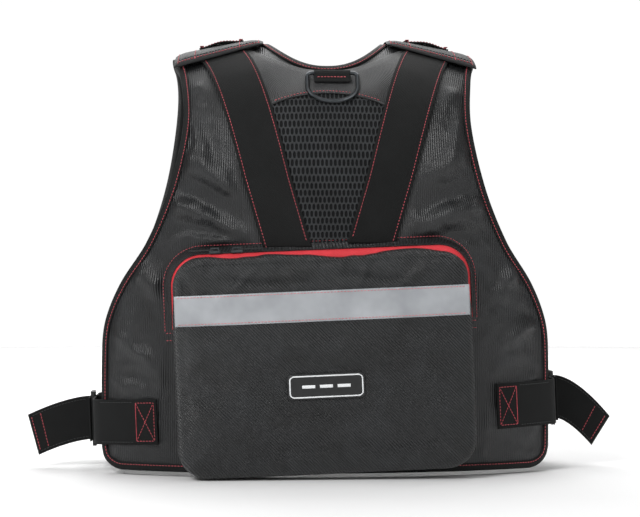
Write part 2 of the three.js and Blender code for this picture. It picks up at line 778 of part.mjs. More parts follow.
// Depth of the face at a point of the pocket, read from its rings.
const crownAt = through([[6, 0], [22, 0.45], [48, 0.8], [84, 1], [pocketHeight / 2, 1]]);
function faceDepthAt(u, w) {
  const inset = Math.min(pocketWidth / 2 - Math.abs(u), pocketHeight / 2 - Math.abs(w));
  return faceDepth + pocketCrown * crownAt(inset) + seatGap + patchLift;
}
const onFace = (width, height, middle, thickness, taper = 0) => (a, b, side) => {
  const u = (a - 0.5) * width + (b - 0.5) * taper;
  const w = middle + (b - 0.5) * height;
  return new THREE.Vector3(u, -faceDepthAt(u, w) - side * thickness, w);
};
const tapeWidth = pocketWidth - 2 * tapeEndGap;
const tapePlace = onFace(tapeWidth, tapeHeight, tapeMiddle, tapeThickness);
add(pocketFrame, 'reflective_tape', slab(tapePlace, steps(16), steps(2)), reflective);
const badgePlace = onFace(badgeWidth, badgeHeight, badgeMiddle, badgeThickness, badgeSlant);
add(pocketFrame, 'pocket_badge', slab(badgePlace, steps(4), steps(2)), badgeRubber);

// ---- Zip sliders --------------------------------------------------------------------------

// A slider sits astride a coil that runs along its frame's X, with Z away from the tapes.
const bridgeHeight = 3.4;
const bridgeWall = 1.1;
const bridgeWidth = 2;
const pullBar = 1.6;
const pullSlot = 3.2;

function sliderSolid(coilWidth, coilHeight, length) {
  const half = coilWidth / 2 + runningGap;
  const roof = coilHeight + runningGap;
  const outline = [
    [-half - sliderWall, seatGap], [-half, seatGap], [-half, roof], [half, roof],
    [half, seatGap], [half + sliderWall, seatGap], [half + sliderWall, roof + sliderWall],
    [-half - sliderWall, roof + sliderWall],
  ];
  const body = plate(outline, length);
  body.translate(0, 0, -length / 2).rotateX(Math.PI / 2).rotateZ(Math.PI / 2);
  const reach = length / 2 - 1;
  const arch = [
    [-reach, -0.5], [-reach + bridgeWall, -0.5], [-reach + bridgeWall + 0.4, bridgeHeight - bridgeWall],
    [reach - bridgeWall - 0.4, bridgeHeight - bridgeWall], [reach - bridgeWall, -0.5], [reach, -0.5],
    [reach - 0.6, bridgeHeight], [-reach + 0.6, bridgeHeight],
  ];
  const bridge = plate(arch, bridgeWidth);
  bridge.translate(0, 0, -bridgeWidth / 2).rotateX(Math.PI / 2).translate(0, 0, roof + sliderWall);
  return join(body, bridge);
}

// The pull lies flat along +X; its end bar turns under the bridge.
function pullSolid(length) {
  const width = bridgeWidth + 1 + 2 * 1.2;
  const outline = [
    [-pullBar / 2, -width / 2], [length, -width / 2 + 0.4], [length + 1.5, 0], [length, width / 2 - 0.4],
    [-pullBar / 2, width / 2],
  ];
  const slot = rectangle(pullBar / 2, -bridgeWidth / 2 - 0.5, pullBar / 2 + pullSlot, bridgeWidth / 2 + 0.5);
  const body = plate(outline, pullThickness, [slot]);
  body.translate(0, 0, -pullThickness / 2);
  return body;
}

const pivotRise = 1.1;
function addSlider(frame, name, coilWidth, coilHeight, length, reach) {
  add(frame, `${name}_slider`, sliderSolid(coilWidth, coilHeight, length), gunmetal);
  const pull = add(frame, `${name}_pull`, pullSolid(reach), cord);
  pull.position.set(length / 2 - 1 - 2.8, 0, coilHeight + runningGap + sliderWall + pivotRise);
}

const zipTop = pocketHeight / 2 - coilInset - zipCoilHeight;
const firstSlider = -pocketWidth / 2 + pocketCorner + sliderStart;
for (const [label, at, turn] of [['left', firstSlider, Math.PI], ['right', firstSlider + sliderPitch, 0]]) {
  const frame = new THREE.Group();
  frame.position.set(at, -pocketZipDepth, zipTop);
  frame.rotation.z = turn;
  pocketFrame.add(frame);
  addSlider(frame, `pocket_${label}`, zipCoilWidth, zipCoilHeight, sliderLength, pullLength);
}

// ---- Waist belt ---------------------------------------------------------------------------

const beltFrame = new THREE.Group();
beltFrame.position.set(0, 0, beltHeight);
beltFrame.rotation.y = -tilt;
vest.add(beltFrame);

// Webbing on edge along a plan path of [x, y] points, from one height to another.
function ribbon(path, side, halfWidth, rows = 1) {
  const place = (a, b, face) => {
    const i = Math.round(b * (path.length - 1));
    const [x0, y0] = path[Math.max(0, i - 1)];
    const [x1, y1] = path[Math.min(path.length - 1, i + 1)];
    const along = new THREE.Vector2(x1 - x0, y1 - y0).normalize();
    const off = (face - 0.5) * webbingThickness;
    const [x, y] = path[i];
    return new THREE.Vector3(side * (x + along.y * off), y - along.x * off, (2 * a - 1) * halfWidth);
  };
  return slab(place, steps(rows), steps(path.length - 1));
}

// Plan point of the belt where it lies on the back (or, mirrored, on the front) at x.
const beltSeat = bindingOuter + bindingSplay / 4 + seatGap;
const beltStand = beltSeat + webbingThickness / 2 + webbingWidth / 2 * Math.sin(tilt);
function beltPlan(x) {
  const { x: u, y: v } = onTorso(x, beltHeight, beltStand);
  return [u, v];
}
const wrap = adjusterThickness / 2 + runningGap + webbingThickness / 2;
const beltWrapX = hemHalfWidth + bindingGap + bindingWall + seatGap;
const beltTurn = beltPlan(beltWrapX);
const adjusterX = beltTurn[0] + beltCornerRadius + wrap;
const barPitch = adjusterSlot + adjusterBar;
const slotEdge = barPitch - adjusterBar / 2;
const foldY = slotEdge - runningGap - webbingThickness;
const beltPath = (root) => [
  ...steps(6).map((t) => beltPlan(root + t * (beltWrapX - root))),
  [adjusterX - wrap - beltEase, beltTurn[1] + beltBendRun], [adjusterX - wrap, beltTurn[1] + beltBendEnd],
  [adjusterX - wrap, -barPitch], [adjusterX - wrap, runningGap - slotEdge],
  [adjusterX - wrap * foldSide, -foldY],
  [adjusterX, foldCrown - foldY], [adjusterX + wrap * foldSide, -foldY],
  [adjusterX + wrap, runningGap - slotEdge],
  [adjusterX + wrap, -barPitch - foldCrown], [adjusterX + wrap, -2 * barPitch],
];

// Ladder-lock frame: three bars between two rails.
const railZ = webbingWidth / 2 + 1 + adjusterMargin / 2;
const barsAt = [-barPitch, 0, barPitch];
const boxAt = (x, y, z, dx, dy, dz) => new THREE.BoxGeometry(dx, dy, dz).translate(x, y, z);
const adjusterDepth = 2 * barPitch + adjusterBar;
const adjusterSolid = () => join(
  ...barsAt.map((y) => boxAt(0, y, 0, adjusterThickness, adjusterBar, 2 * railZ)),
  ...[-railZ, railZ].map((z) => boxAt(0, 0, z, adjusterThickness, adjusterDepth, adjusterMargin)),
);
const tailY = barPitch / 2 - tailShift;
for (const [label, side] of sides) {
  add(beltFrame, `waist_webbing_${label}`, ribbon(beltPath(beltRoot), side, webbingWidth / 2), webbing);
  const frontRoot = lowerPocketOffset + lowerPocketWidth / 2 + beltPocketGap;
  const mirrored = beltPath(frontRoot).map(([x, y]) => [x, -y]);
  add(beltFrame, `front_webbing_${label}`, ribbon(mirrored, side, webbingWidth / 2), webbing);
  add(beltFrame, `waist_adjuster_${label}`, adjusterSolid(), acetal).position.x = side * adjusterX;
  const droop = label === 'left' ? tailDroopLeft : tailDroopRight;
  const tailLength = label === 'left' ? tailLengthLeft : tailLengthRight;
  const tailPlace = (a, b, face) => {
    const run = b * (tailRoot + tailLength) - tailRoot;
    const share = Math.max(0, run - tailStraight) / (tailLength - tailStraight);
    const slope = Math.atan2(droop * 1.6 * share ** 0.6, tailLength);
    const across = (a - 0.5) * webbingWidth;
    const x = run + across * Math.sin(slope) * 0.6;
    const z = across * Math.cos(slope) - droop * share ** 1.6;
    return new THREE.Vector3(side * (adjusterX + x), tailY + (face - 0.5) * webbingThickness, z);
  };
  add(beltFrame, `waist_tail_${label}`, slab(tailPlace, steps(2), steps(14)), webbing);
}

// ---- Front zip ----------------------------------------------------------------------------

const zipHead = crest - seamGap - frontNeckDrop - bindingLeg;
const zipSill = bindingLeg;
const frontStrip = (x0, x1, inner, outer) => slab((a, b, face) => onTorso(
  x0 + a * (x1 - x0), 2 * crest - zipSill - b * (zipHead - zipSill), face ? outer : inner,
), [0, 1], [0, 0.4, 0.8, 0.87, 0.94, 1]);
const tapeEdge = frontOpeningHalf - seatGap;
for (const [label, side] of sides) {
  const tape = frontStrip(side * seatGap / 2, side * tapeEdge, frontZipSeat, frontZipSeat + zipTapeThickness);
  add(vest, `front_zip_tape_${label}`, tape, redTape);
}
const coilFoot = frontZipSeat + zipTapeThickness + seatGap;
const frontCoil = frontStrip(-frontCoilWidth / 2, frontCoilWidth / 2, coilFoot, coilFoot + frontCoilHeight);
add(vest, 'front_zip_coil', frontCoil, blackCoil);

// A frame on the front whose X runs down and whose Z points away from the wearer.
function frontFrame(x, height, stand) {
  const frame = new THREE.Group();
  const down = new THREE.Vector3(0, 0, -1);
  const out = torsoNormal(x, 2 * crest - height);
  const basis = new THREE.Matrix4().makeBasis(down, out.clone().cross(down), out);
  frame.setRotationFromMatrix(basis);
  frame.position.copy(onTorso(x, 2 * crest - height, stand));
  vest.add(frame);
  return frame;
}
const frontSliderHeight = archFoot - frontSliderLength;
const centreFrame = frontFrame(0, frontSliderHeight, coilFoot);
addSlider(centreFrame, 'front', frontCoilWidth, frontCoilHeight, frontSliderLength, frontPullLength);

// ---- Front pockets ------------------------------------------------------------------------

// Domed cloth pocket on the front, open towards the panel: its skin at (a, b), raised by stand.
const domeLines = [0, 0.008, 0.03, 0.08, 0.2, 0.4, 0.6, 0.8, 0.92, 0.97, 0.992, 1];
const domePower = 10;
const domeSeat = shellOuter + 2 * seatGap;
function domePoint(side, pocket, a, b, raise) {
  const u = (2 * a - 1) * (pocket.width / 2 - raise) * (1 - 0.03 * (2 * b - 1) ** 2);
  const w = (2 * b - 1) * (pocket.height / 2 - raise) * (1 - 0.03 * (2 * a - 1) ** 2);
  const swell = Math.sqrt((1 - Math.abs(2 * a - 1) ** domePower) * (1 - Math.abs(2 * b - 1) ** domePower));
  const stand = domeSeat + swell * (frontPocketDepth - raise);
  return onTorso(side * (pocket.offset + u), 2 * crest - (pocket.middle + w), stand);
}
const chestPocket = {
  width: chestPocketWidth, height: chestPocketHeight, offset: chestPocketOffset, middle: chestPocketMiddle,
};
const lowerPocket = {
  width: lowerPocketWidth, height: lowerPocketHeight, offset: lowerPocketOffset, middle: lowerPocketMiddle,
};
const chestFace = domeSeat + frontPocketDepth + seatGap;
for (const [label, side] of sides) {
  for (const [name, pocket] of [['chest_pocket', chestPocket], ['lower_pocket', lowerPocket]]) {
    const skin = (a, b, face) => domePoint(side, pocket, a, b, face ? 0 : frontPocketWall);
    add(vest, `${name}_${label}`, slab(skin, domeLines, domeLines), shellCloth);
  }
  const flapFoot = 1 - flapHeight / lowerPocketHeight;
  const flap = (a, b, face) => domePoint(side, lowerPocket, a, b, -seatGap - face * flapThickness);
  const flapRows = [flapFoot, ...domeLines.filter((line) => line > flapFoot && line < 0.95)];
  add(vest, `lower_pocket_flap_${label}`, slab(flap, domeLines.slice(2, -2), flapRows), shellCloth);
  const chestStrip = (half, inner, outer) => slab((a, b, face) => onTorso(
    side * (chestPocketOffset + (2 * a - 1) * half),
    2 * crest - chestZipMiddle + (0.5 - b) * chestZipLength, face ? outer : inner,
  ), steps(2), [0, 1]);
  const chestCoil = chestFace + zipTapeThickness;
  const tapes = chestStrip(chestZipWidth / 2, chestFace, chestCoil);
  const coil = chestStrip(zipCoilWidth / 2, chestCoil - zipTapeThickness / 2, chestCoil + zipCoilHeight);
  add(vest, `chest_zip_${label}`, join(tapes, coil), redTape);
  const top = chestZipMiddle + chestZipLength / 2 - sliderLength;
  const frame = frontFrame(side * chestPocketOffset, top, chestCoil);
  addSlider(frame, `chest_${label}`, zipCoilWidth, zipCoilHeight, sliderLength, pullLength);
}

export default vest;
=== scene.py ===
# %% [markdown]
# # An angler's vest in Blender
# The vest is built round a fixed frame of CAD solids. Every piece below is a surface worked out
# with numpy in millimetres on one shared form, the torso, and then laid into a mesh in metres.
# The shared form is why the pieces lie on each other without any fitting.

# %% Frame
import json
import math
from functools import partial

import bmesh
import bpy
import numpy as np
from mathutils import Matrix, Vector
from mathutils.bvhtree import BVHTree


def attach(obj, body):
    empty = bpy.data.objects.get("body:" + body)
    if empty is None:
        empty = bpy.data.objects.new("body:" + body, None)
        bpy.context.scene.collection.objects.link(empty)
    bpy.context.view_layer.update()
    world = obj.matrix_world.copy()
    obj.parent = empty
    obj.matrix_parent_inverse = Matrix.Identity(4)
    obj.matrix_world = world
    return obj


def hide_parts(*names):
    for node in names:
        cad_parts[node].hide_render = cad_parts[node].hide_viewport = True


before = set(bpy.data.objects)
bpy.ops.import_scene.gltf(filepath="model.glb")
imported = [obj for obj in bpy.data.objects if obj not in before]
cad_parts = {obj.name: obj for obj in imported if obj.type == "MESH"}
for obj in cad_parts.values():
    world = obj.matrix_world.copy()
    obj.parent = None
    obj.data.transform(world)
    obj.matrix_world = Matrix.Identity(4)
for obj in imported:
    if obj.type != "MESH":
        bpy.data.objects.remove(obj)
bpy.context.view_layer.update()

# %% [markdown]
# ## The torso
# A worn vest follows a chest and shoulders. The chest is an oval; above it an arch rises over the
# shoulders. A point is named by x and by its girth, the distance up the back, over the shoulder
# and down the front. Its stand is how far it lies off the body along the surface's normal.

# %% Sizes in millimetres
CHEST_HALF_WIDTH, CHEST_HALF_DEPTH = 275.0, 120.0
ARCH_FOOT, ARCH_RISE = 320.0, 150.0
SHOULDER_FALL, FALL_START, FALL_BLEND = 0.2, 65.0, 30.0
ARCH_LENGTH = math.pi * math.sqrt((CHEST_HALF_DEPTH ** 2 + ARCH_RISE ** 2) / 2)
CREST = ARCH_FOOT + ARCH_LENGTH / 2
HEM_HALF, SHOULDER_HALF, NECK_HALF = 242.0, 170.0, 65.0
FRONT_TOP = CREST - 0.9         # the fronts end just short of the back at the crest
BACK_NECK, FRONT_NECK = (90.0, 2.2), (150.0, 1.35)
HEM_CORNER, OPENING_HALF = 22.0, 9.0
SHELL, FOAM, LINING = 11.2, 9.6, 1.0    # stands of the layers' outer faces
CLOTH_THICK, FOAM_THICK = 1.0, 8.0
SEWN = SHELL + 0.4          # stand of the inner face of what is sewn onto it
WEB_THICK, WEB_WIDE = 1.8, 50.0
TILT = math.radians(2.4)
SIDES = (("left", -1), ("right", 1))
# change of the half width at a girth, which hollows the sides under the arms
BACK_CUT = [(0, 0), (130, 0), (165, -4), (205, -20), (250, -48), (312, -73), (379, -87), (440, -84)]
FRONT_CUT = [(0, 0), (130, 0), (165, -4), (205, -18), (250, -41), (312, -61), (379, -73), (440, -77)]


# %% Torso formulas
def unit(vectors):
    return vectors / np.linalg.norm(vectors, axis=-1, keepdims=True)


def arch_rise(x):
    """Height of the shoulders' arch, which falls off smoothly outside the neck."""
    beyond = np.abs(x) - FALL_START
    return ARCH_RISE - SHOULDER_FALL * (np.hypot(beyond, FALL_BLEND) + beyond) / 2


def torso(x, girth):
    """Oval y = -D sqrt(1 - (x/W)^2) up to the arch's foot, half an ellipse over the shoulder."""
    x, girth = np.broadcast_arrays(np.asarray(x, float), np.asarray(girth, float))
    depth = CHEST_HALF_DEPTH * np.sqrt(np.maximum(0, 1 - (x / CHEST_HALF_WIDTH) ** 2))
    turn = np.clip((girth - ARCH_FOOT) / ARCH_LENGTH, 0, 1) * math.pi
    below = np.minimum(np.where(girth < CREST, girth, 2 * CREST - girth) - ARCH_FOOT, 0)
    return np.stack([x, -depth * np.cos(turn), ARCH_FOOT + below + arch_rise(x) * np.sin(turn)], -1)


def torso_normal(x, girth, step=0.5):
    """Cross product of the surface's two differences, pointing away from the wearer."""
    along_x = torso(x + step, girth) - torso(x - step, girth)
    along_g = torso(x, girth + step) - torso(x, girth - step)
    return unit(np.cross(along_x, along_g))


def on_torso(x, girth, stand):
    x, girth, stand = np.broadcast_arrays(*(np.asarray(v, float) for v in (x, girth, stand)))
    return torso(x, girth) + stand[..., None] * torso_normal(x, girth)


def back_girth(x, height):
    """Girth of the point of the back at a height: the arch's formula turned round."""
    turn = np.arcsin(np.clip((height - ARCH_FOOT) / arch_rise(x), 0, 1))
    return np.where(height <= ARCH_FOOT, height, ARCH_FOOT + ARCH_LENGTH * turn / math.pi)


def through(points, place):
    """Smooth curve through (place, value) pairs: cubic pieces with the slopes of their neighbours."""
    at, value = np.array(points, float).T
    slope = np.zeros(len(at))
    slope[1:-1] = (value[2:] - value[:-2]) / (at[2:] - at[:-2])
    place = np.clip(place, at[0], at[-1])
    i = np.clip(np.searchsorted(at, place, "right") - 1, 0, len(at) - 2)
    span = at[i + 1] - at[i]
    t = (place - at[i]) / span
    rise, near, far = value[i + 1] - value[i], slope[i] * span, slope[i + 1] * span
    return value[i] + t * near + t * t * (3 * rise - 2 * near - far) + t ** 3 * (near + far - 2 * rise)


def hem_rise(x):
    past = np.maximum(0, np.abs(x) - (HEM_HALF - HEM_CORNER))
    return HEM_CORNER - np.sqrt(np.maximum(0, HEM_CORNER ** 2 - past ** 2))


def neck_drop(x, drop, power):
    share = np.minimum(1, np.abs(x) / NECK_HALF)
    return drop * (1 - share ** power) ** (1 / power)


def half_width(cut, girth):
    """Half the width of the vest at a girth, from a list of (girth, change) pairs."""
    return HEM_HALF + through(cut + [(CREST, SHOULDER_HALF - HEM_HALF)], girth)


def back_panel(a, b):
    """[x, girth] of the back: a from the left edge (-1) to the right (1), b from hem (0) to top (1)."""
    hem = hem_rise(a * HEM_HALF)
    girth = hem + b * (CREST - hem) - b ** 3 * neck_drop(a * SHOULDER_HALF, *BACK_NECK)
    return a * half_width(BACK_CUT, girth), girth


def front_panel(side, a, b):
    """[x, girth] of a front: a from the opening (0) to the side edge (1), b as on the back."""
    def across(half):
        return OPENING_HALF + a * (half - OPENING_HALF)
    hem = hem_rise(across(HEM_HALF))
    run = hem + b * (FRONT_TOP - hem) - b ** 3 * neck_drop(across(SHOULDER_HALF), *FRONT_NECK)
    return side * across(half_width(FRONT_CUT, run)), 2 * CREST - run


print("crest girth", round(CREST, 1), "mm")

# %% [markdown]
# ## Making meshes
# Cloth is a grid of points with a thickness. The grid's rows and columns give it a UV map in
# metres, so a weave keeps its real size and follows the cloth round the body.


# %% Grid, sweep and noise helpers
def smooth_noise(u, v, size, seed):
    """Random values on a lattice of the given size, blended smoothly in between, from -1 to 1."""
    lattice = np.random.default_rng(seed).uniform(-1, 1, (97, 97))
    u, v = np.asarray(u) / size + 40, np.asarray(v) / size + 40
    i, j = np.floor(u).astype(int), np.floor(v).astype(int)
    s, t = u - i, v - j
    s, t = s * s * (3 - 2 * s), t * t * (3 - 2 * t)
    i, j, i1, j1 = i % 97, j % 97, (i + 1) % 97, (j + 1) % 97
    return ((lattice[i, j] * (1 - s) + lattice[i1, j] * s) * (1 - t)
            + (lattice[i, j1] * (1 - s) + lattice[i1, j1] * s) * t)


def new_object(name, points, faces, uv, material, body, stands_for=(), smooth=True):
    """Mesh in metres from points in millimetres, four-cornered faces and a UV for each point."""
    points = np.asarray(points, float).reshape(-1, 3) * 0.001
    faces = np.asarray(faces, np.int32)
    mesh = bpy.data.meshes.new(name)
    mesh.vertices.add(len(points))
    mesh.vertices.foreach_set("co", points.astype(np.float32).ravel())
    corners = faces.shape[1]
    mesh.loops.add(faces.size)
    mesh.loops.foreach_set("vertex_index", faces.ravel())
    mesh.polygons.add(len(faces))
    mesh.polygons.foreach_set("loop_start", np.arange(0, faces.size, corners, dtype=np.int32))
    mesh.polygons.foreach_set("use_smooth", np.full(len(faces), smooth))
    if uv is not None:
        layer = mesh.uv_layers.new(name="cloth")
        layer.uv.foreach_set("vector", np.asarray(uv, np.float32).reshape(-1, 2)[faces.ravel()].ravel())
    mesh.update(calc_edges=True)
    mesh.validate()
    piece = bpy.data.objects.new(name, mesh)
    bpy.context.scene.collection.objects.link(piece)
    mesh.materials.append(material)
    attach(piece, body)
    if stands_for:
        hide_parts(*stands_for)
    return piece


def grid_faces(rows, columns, wrap_rows=False, wrap_columns=False):
    """Four-cornered faces of a grid of points, wrapped round in either direction."""
    j, i = np.meshgrid(np.arange(rows - (not wrap_rows)), np.arange(columns - (not wrap_columns)),
                       indexing="ij")
    j1, i1 = (j + 1) % rows, (i + 1) % columns
    corners = [j * columns + i, j * columns + i1, j1 * columns + i1, j1 * columns + i]
    return np.stack(corners, -1).reshape(-1, 4)


def lengths(points, axis):
    """Distance run along one direction of a grid, in metres."""
    gap = np.linalg.norm(np.diff(points, axis=axis), axis=-1) * 0.001
    return np.concatenate([np.zeros_like(np.take(gap, [0], axis)), np.cumsum(gap, axis)], axis)


def outward(points, faces, hint):
    """The faces, turned round if they don't point along the hint."""
    p = points.reshape(-1, 3)[faces]
    normal = np.cross(p[:, 2] - p[:, 0], p[:, 3] - p[:, 1])
    return faces if (normal * hint.reshape(-1, 3)[faces[:, 0]]).sum() > 0 else faces[:, ::-1]


def give_thickness(piece, thick):
    wall = piece.modifiers.new("cloth thickness", "SOLIDIFY")
    wall.thickness, wall.offset, wall.use_even_offset = thick * 0.001, -1, False


def cloth(name, points, hint, thick, material, body="vest", stands_for=(), flat=None):
    """A grid of points as cloth: the grid is the outer face, and its wall goes inwards."""
    rows, columns = points.shape[:2]
    faces = outward(points, grid_faces(rows, columns), np.broadcast_to(hint, points.shape))
    uv = np.stack([lengths(points, 1), lengths(points, 0)], -1) if flat is None else flat
    piece = new_object(name, points, faces, uv, material, body, stands_for)
    give_thickness(piece, thick)
    return piece


def sweep(name, at, inward, out, outline, material, body="vest", stands_for=(), closed=False, cap=True):
    """An outline of (inward, out) pairs carried along a path of frames, capped at its ends."""
    outline = np.asarray(outline, float)
    points = at[:, None] + outline[None, :, :1] * inward[:, None] + outline[None, :, 1:] * out[:, None]
    rows, columns = points.shape[:2]
    faces = grid_faces(rows, columns, wrap_rows=closed, wrap_columns=True)
    middle = points.mean(1, keepdims=True)
    faces = outward(points, faces, points - middle)
    around = lengths(np.concatenate([points, points[:, :1]], 1), 1)[:, :-1]
    uv = np.stack([around, lengths(points, 0)], -1)
    piece = new_object(name, points, faces, uv, material, body, stands_for)
    if cap and not closed:
        work = bmesh.new()
        work.from_mesh(piece.data)
        bmesh.ops.holes_fill(work, edges=[e for e in work.edges if e.is_boundary], sides=0)
        bmesh.ops.recalc_face_normals(work, faces=work.faces)
        work.to_mesh(piece.data)
        work.free()
    return piece


def run_along(path):
    """Distance of each point from the path's start."""
    return np.concatenate([[0], np.cumsum(np.linalg.norm(np.diff(path, axis=0), axis=1))])


def resample(path, spacing):
    """Points of a path at even distances, with the path's own ends kept."""
    path = np.asarray(path, float)
    run = run_along(path)
    at = np.linspace(0, run[-1], max(2, int(round(run[-1] / spacing)) + 1))
    return np.stack([np.interp(at, run, path[:, k]) for k in range(path.shape[1])], 1)


def frames_on_torso(path, stand=0.0, side=1):
    """Frames along [x, girth] points: where, the direction in from the edge, and out of the body."""
    path = np.asarray(path, float)
    at = on_torso(path[:, 0], path[:, 1], stand)
    out = torso_normal(path[:, 0], path[:, 1])
    along = np.gradient(at, axis=0)
    return at, side * unit(np.cross(out, along)), out


def facing(points, way=(0.0, -1.0, 0.0)):
    """One direction, given to every point of a path or grid."""
    return np.broadcast_to(way, np.shape(points))


def small_shapes(name, points, caps, middle, material, body, stands_for=()):
    """Many copies of one small shape of six rings of six points, with its faces turned outwards."""
    one = grid_faces(6, 6, wrap_columns=True)
    p = points[0].reshape(-1, 3)

    def turned(faces, judged):
        q = p[judged]
        normal = np.cross(q[:, 2] - q[:, 0], q[:, 3] - q[:, 1])
        return faces if (normal * (q[:, 0] - middle)).sum() > 0 else faces[:, ::-1]
    shape = np.concatenate([turned(one, one), turned(caps, caps[:1])])
    faces = (shape[None] + 36 * np.arange(len(points))[:, None, None]).reshape(-1, 4)
    return new_object(name, points, faces, None, material, body, stands_for)

# %% [markdown]
# ## Finishes
# Nearly everything is black or dark grey, so the finishes have to differ in gloss, weave and
# nap. Each one mixes two close colours by a soft noise and carries its weave as a bump. The
# cloth finishes also darken their colour in the weave's valleys and lighten it on its ridges,
# which is painted shade and painted light. A weave reads the piece's own UV in metres, so a
# thread spacing can be given as a real length. The ribs of the shell and the twill of the
# pockets are drawn coarser than woven, so that they show.


# %% Colour and node helpers
def linear(code):
    """A colour code such as #25282a from the screen's curve to plain light values."""
    parts = [int(code[i:i + 2], 16) / 255 for i in (1, 3, 5)]
    return tuple(c / 12.92 if c <= 0.04045 else ((c + 0.055) / 1.055) ** 2.4 for c in parts) + (1.0,)


def node(tree, kind, inputs=(), **settings):
    made = tree.nodes.new("ShaderNode" + kind)
    for key, value in settings.items():
        setattr(made, key, value)
    for key, value in dict(inputs).items():
        if isinstance(value, bpy.types.NodeSocket):
            tree.links.new(value, made.inputs[key])
        else:
            made.inputs[key].default_value = value
    return made


def start_finish(name, **shader):
    """New material with its shader; gives the material, its node tree and the shader node."""
    material = bpy.data.materials.new(name)
    material.use_nodes = True
    tree = material.node_tree
    surface = tree.nodes["Principled BSDF"]
    for key, value in shader.items():
        surface.inputs[key.replace("_", " ")].default_value = value
    return material, tree, surface


def mottled(tree, place, low, high, size, detail=3.0):
    """Two colours mixed by a noise of the given size in metres."""
    noise = node(tree, "TexNoise",
                 {"Vector": place, "Scale": 1 / size, "Detail": detail, "Roughness": 0.6})
    ramp = node(tree, "ValToRGB", {"Fac": noise.outputs["Fac"]})
    for stop, position, colour in zip(ramp.color_ramp.elements, (0.3, 0.72), (low, high)):
        stop.position, stop.color = position, linear(colour)
    return ramp.outputs["Color"], noise.outputs["Fac"]


def rough_between(tree, surface, factor, low, high):
    spread = node(tree, "MapRange", {"Value": factor, "To Min": low, "To Max": high})
    tree.links.new(spread.outputs["Result"], surface.inputs["Roughness"])


def bands(tree, place, period, direction):
    """Even ridges: the wave's phase is 20 scale x along an axis and 10 scale (x + y) on the diagonal."""
    turns = 10 if direction == "DIAGONAL" else 20
    scale = 2 * math.pi / turns / period
    wave = node(tree, "TexWave", {"Vector": place, "Scale": scale, "Distortion": 0.0, "Detail": 0.0},
                wave_type="BANDS", bands_direction=direction)
    return wave.outputs["Fac"]


def woven(name, low, high, period, rough, ways=("X", "Y"), depth=0.0002, strength=0.6, mottle=0.03,
          painted_shade_contrast=0.25, **shader):
    """Cloth: colours mottled, crossed ridges of thread at a period in metres as bump, and painted shade and
    light: colour darker in the weave's valleys, lighter on its ridges.
    """
    material, tree, surface = start_finish(name, **shader)
    uv = node(tree, "UVMap", uv_map="cloth").outputs["UV"]
    place = node(tree, "TexCoord").outputs["Object"]
    colour, factor = mottled(tree, place, low, high, mottle)
    threads = bands(tree, uv, period, ways[0])
    if len(ways) > 1:
        crossing = bands(tree, uv, period, ways[1])
        threads = node(tree, "Math", {0: threads, 1: crossing}, operation="MAXIMUM").outputs[0]
    # painted shade and light: the colour is multiplied by the thread height, darker in the weave's valleys and
    # lighter on its ridges
    spread = {"Value": threads, "To Min": 1 - painted_shade_contrast, "To Max": 1 + painted_shade_contrast}
    painted_weave_shade = node(tree, "MapRange", spread).outputs["Result"]
    shaded = node(tree, "VectorMath", {0: colour, 1: (1, 1, 1)}, operation="MULTIPLY")
    joined = node(tree, "CombineXYZ", {"X": painted_weave_shade, "Y": painted_weave_shade, "Z": painted_weave_shade})
    tree.links.new(joined.outputs[0], shaded.inputs[1])
    tree.links.new(shaded.outputs[0], surface.inputs["Base Color"])
    rough_between(tree, surface, factor, *rough)
    fuzz = node(tree, "TexNoise", {"Vector": place, "Scale": 900.0, "Detail": 2.0})
    height = node(tree, "Math", {0: threads, 1: fuzz.outputs["Fac"]}, operation="ADD")
    bump = node(tree, "Bump", {"Height": height.outputs[0], "Distance": depth, "Strength": strength})
    tree.links.new(bump.outputs["Normal"], surface.inputs["Normal"])
    return material


# %% Cloth finishes
# each cloth's contrast sets how deep the painted shade in its weave's valleys is, and the painted light on its
# ridges
shell_cloth = woven("ribbed_shell_cloth", "#0b0c0d", "#17191b", 0.0023, (0.34, 0.48), ("X",),
                    depth=0.0005, strength=0.7, painted_shade_contrast=0.45,
                    Sheen_Weight=0.04, Sheen_Roughness=0.35, Specular_IOR_Level=0.55)
pocket_cloth = woven("ribbed_pocket_cloth", "#0d0e0f", "#1c1e20", 0.0037, (0.34, 0.48), ("DIAGONAL",),
                     depth=0.0008, strength=1.0, painted_shade_contrast=0.75,
                     Sheen_Weight=0.04, Sheen_Roughness=0.35, Specular_IOR_Level=0.6)
yoke_cloth = woven("smooth_yoke_cloth", "#090a0b", "#121315", 0.0011, (0.5, 0.64), strength=0.5,
                   Sheen_Weight=0.02, Sheen_Roughness=0.35, Specular_IOR_Level=0.25)
lining_cloth = woven("knitted_lining", "#0e0f10", "#171819", 0.0024, (0.8, 0.92), depth=0.0004,
                     Sheen_Weight=0.04, Sheen_Roughness=0.6, Specular_IOR_Level=0.2)
binding_tape = woven("grosgrain_binding", "#0b0c0c", "#141515", 0.0010, (0.6, 0.75), ("Y",),
                     Sheen_Weight=0.03, Sheen_Roughness=0.5, Specular_IOR_Level=0.25)
webbing = woven("polypropylene_webbing", "#0c0d0d", "#151616", 0.0017, (0.66, 0.8), ("DIAGONAL",),
                depth=0.0004, strength=0.8, Sheen_Weight=0.03, Sheen_Roughness=0.5, Specular_IOR_Level=0.22)
air_mesh = woven("knitted_air_mesh", "#1a1c1e", "#2a2d30", 0.0006, (0.5, 0.65), ("Y",),
                 Sheen_Weight=0.06, Sheen_Roughness=0.5)
red_tape = woven("red_zip_tape", "#c3232c", "#dd3741", 0.0008, (0.55, 0.7),
                 Sheen_Weight=0.1, Sheen_Roughness=0.4)
print("cloth finishes", len(bpy.data.materials))


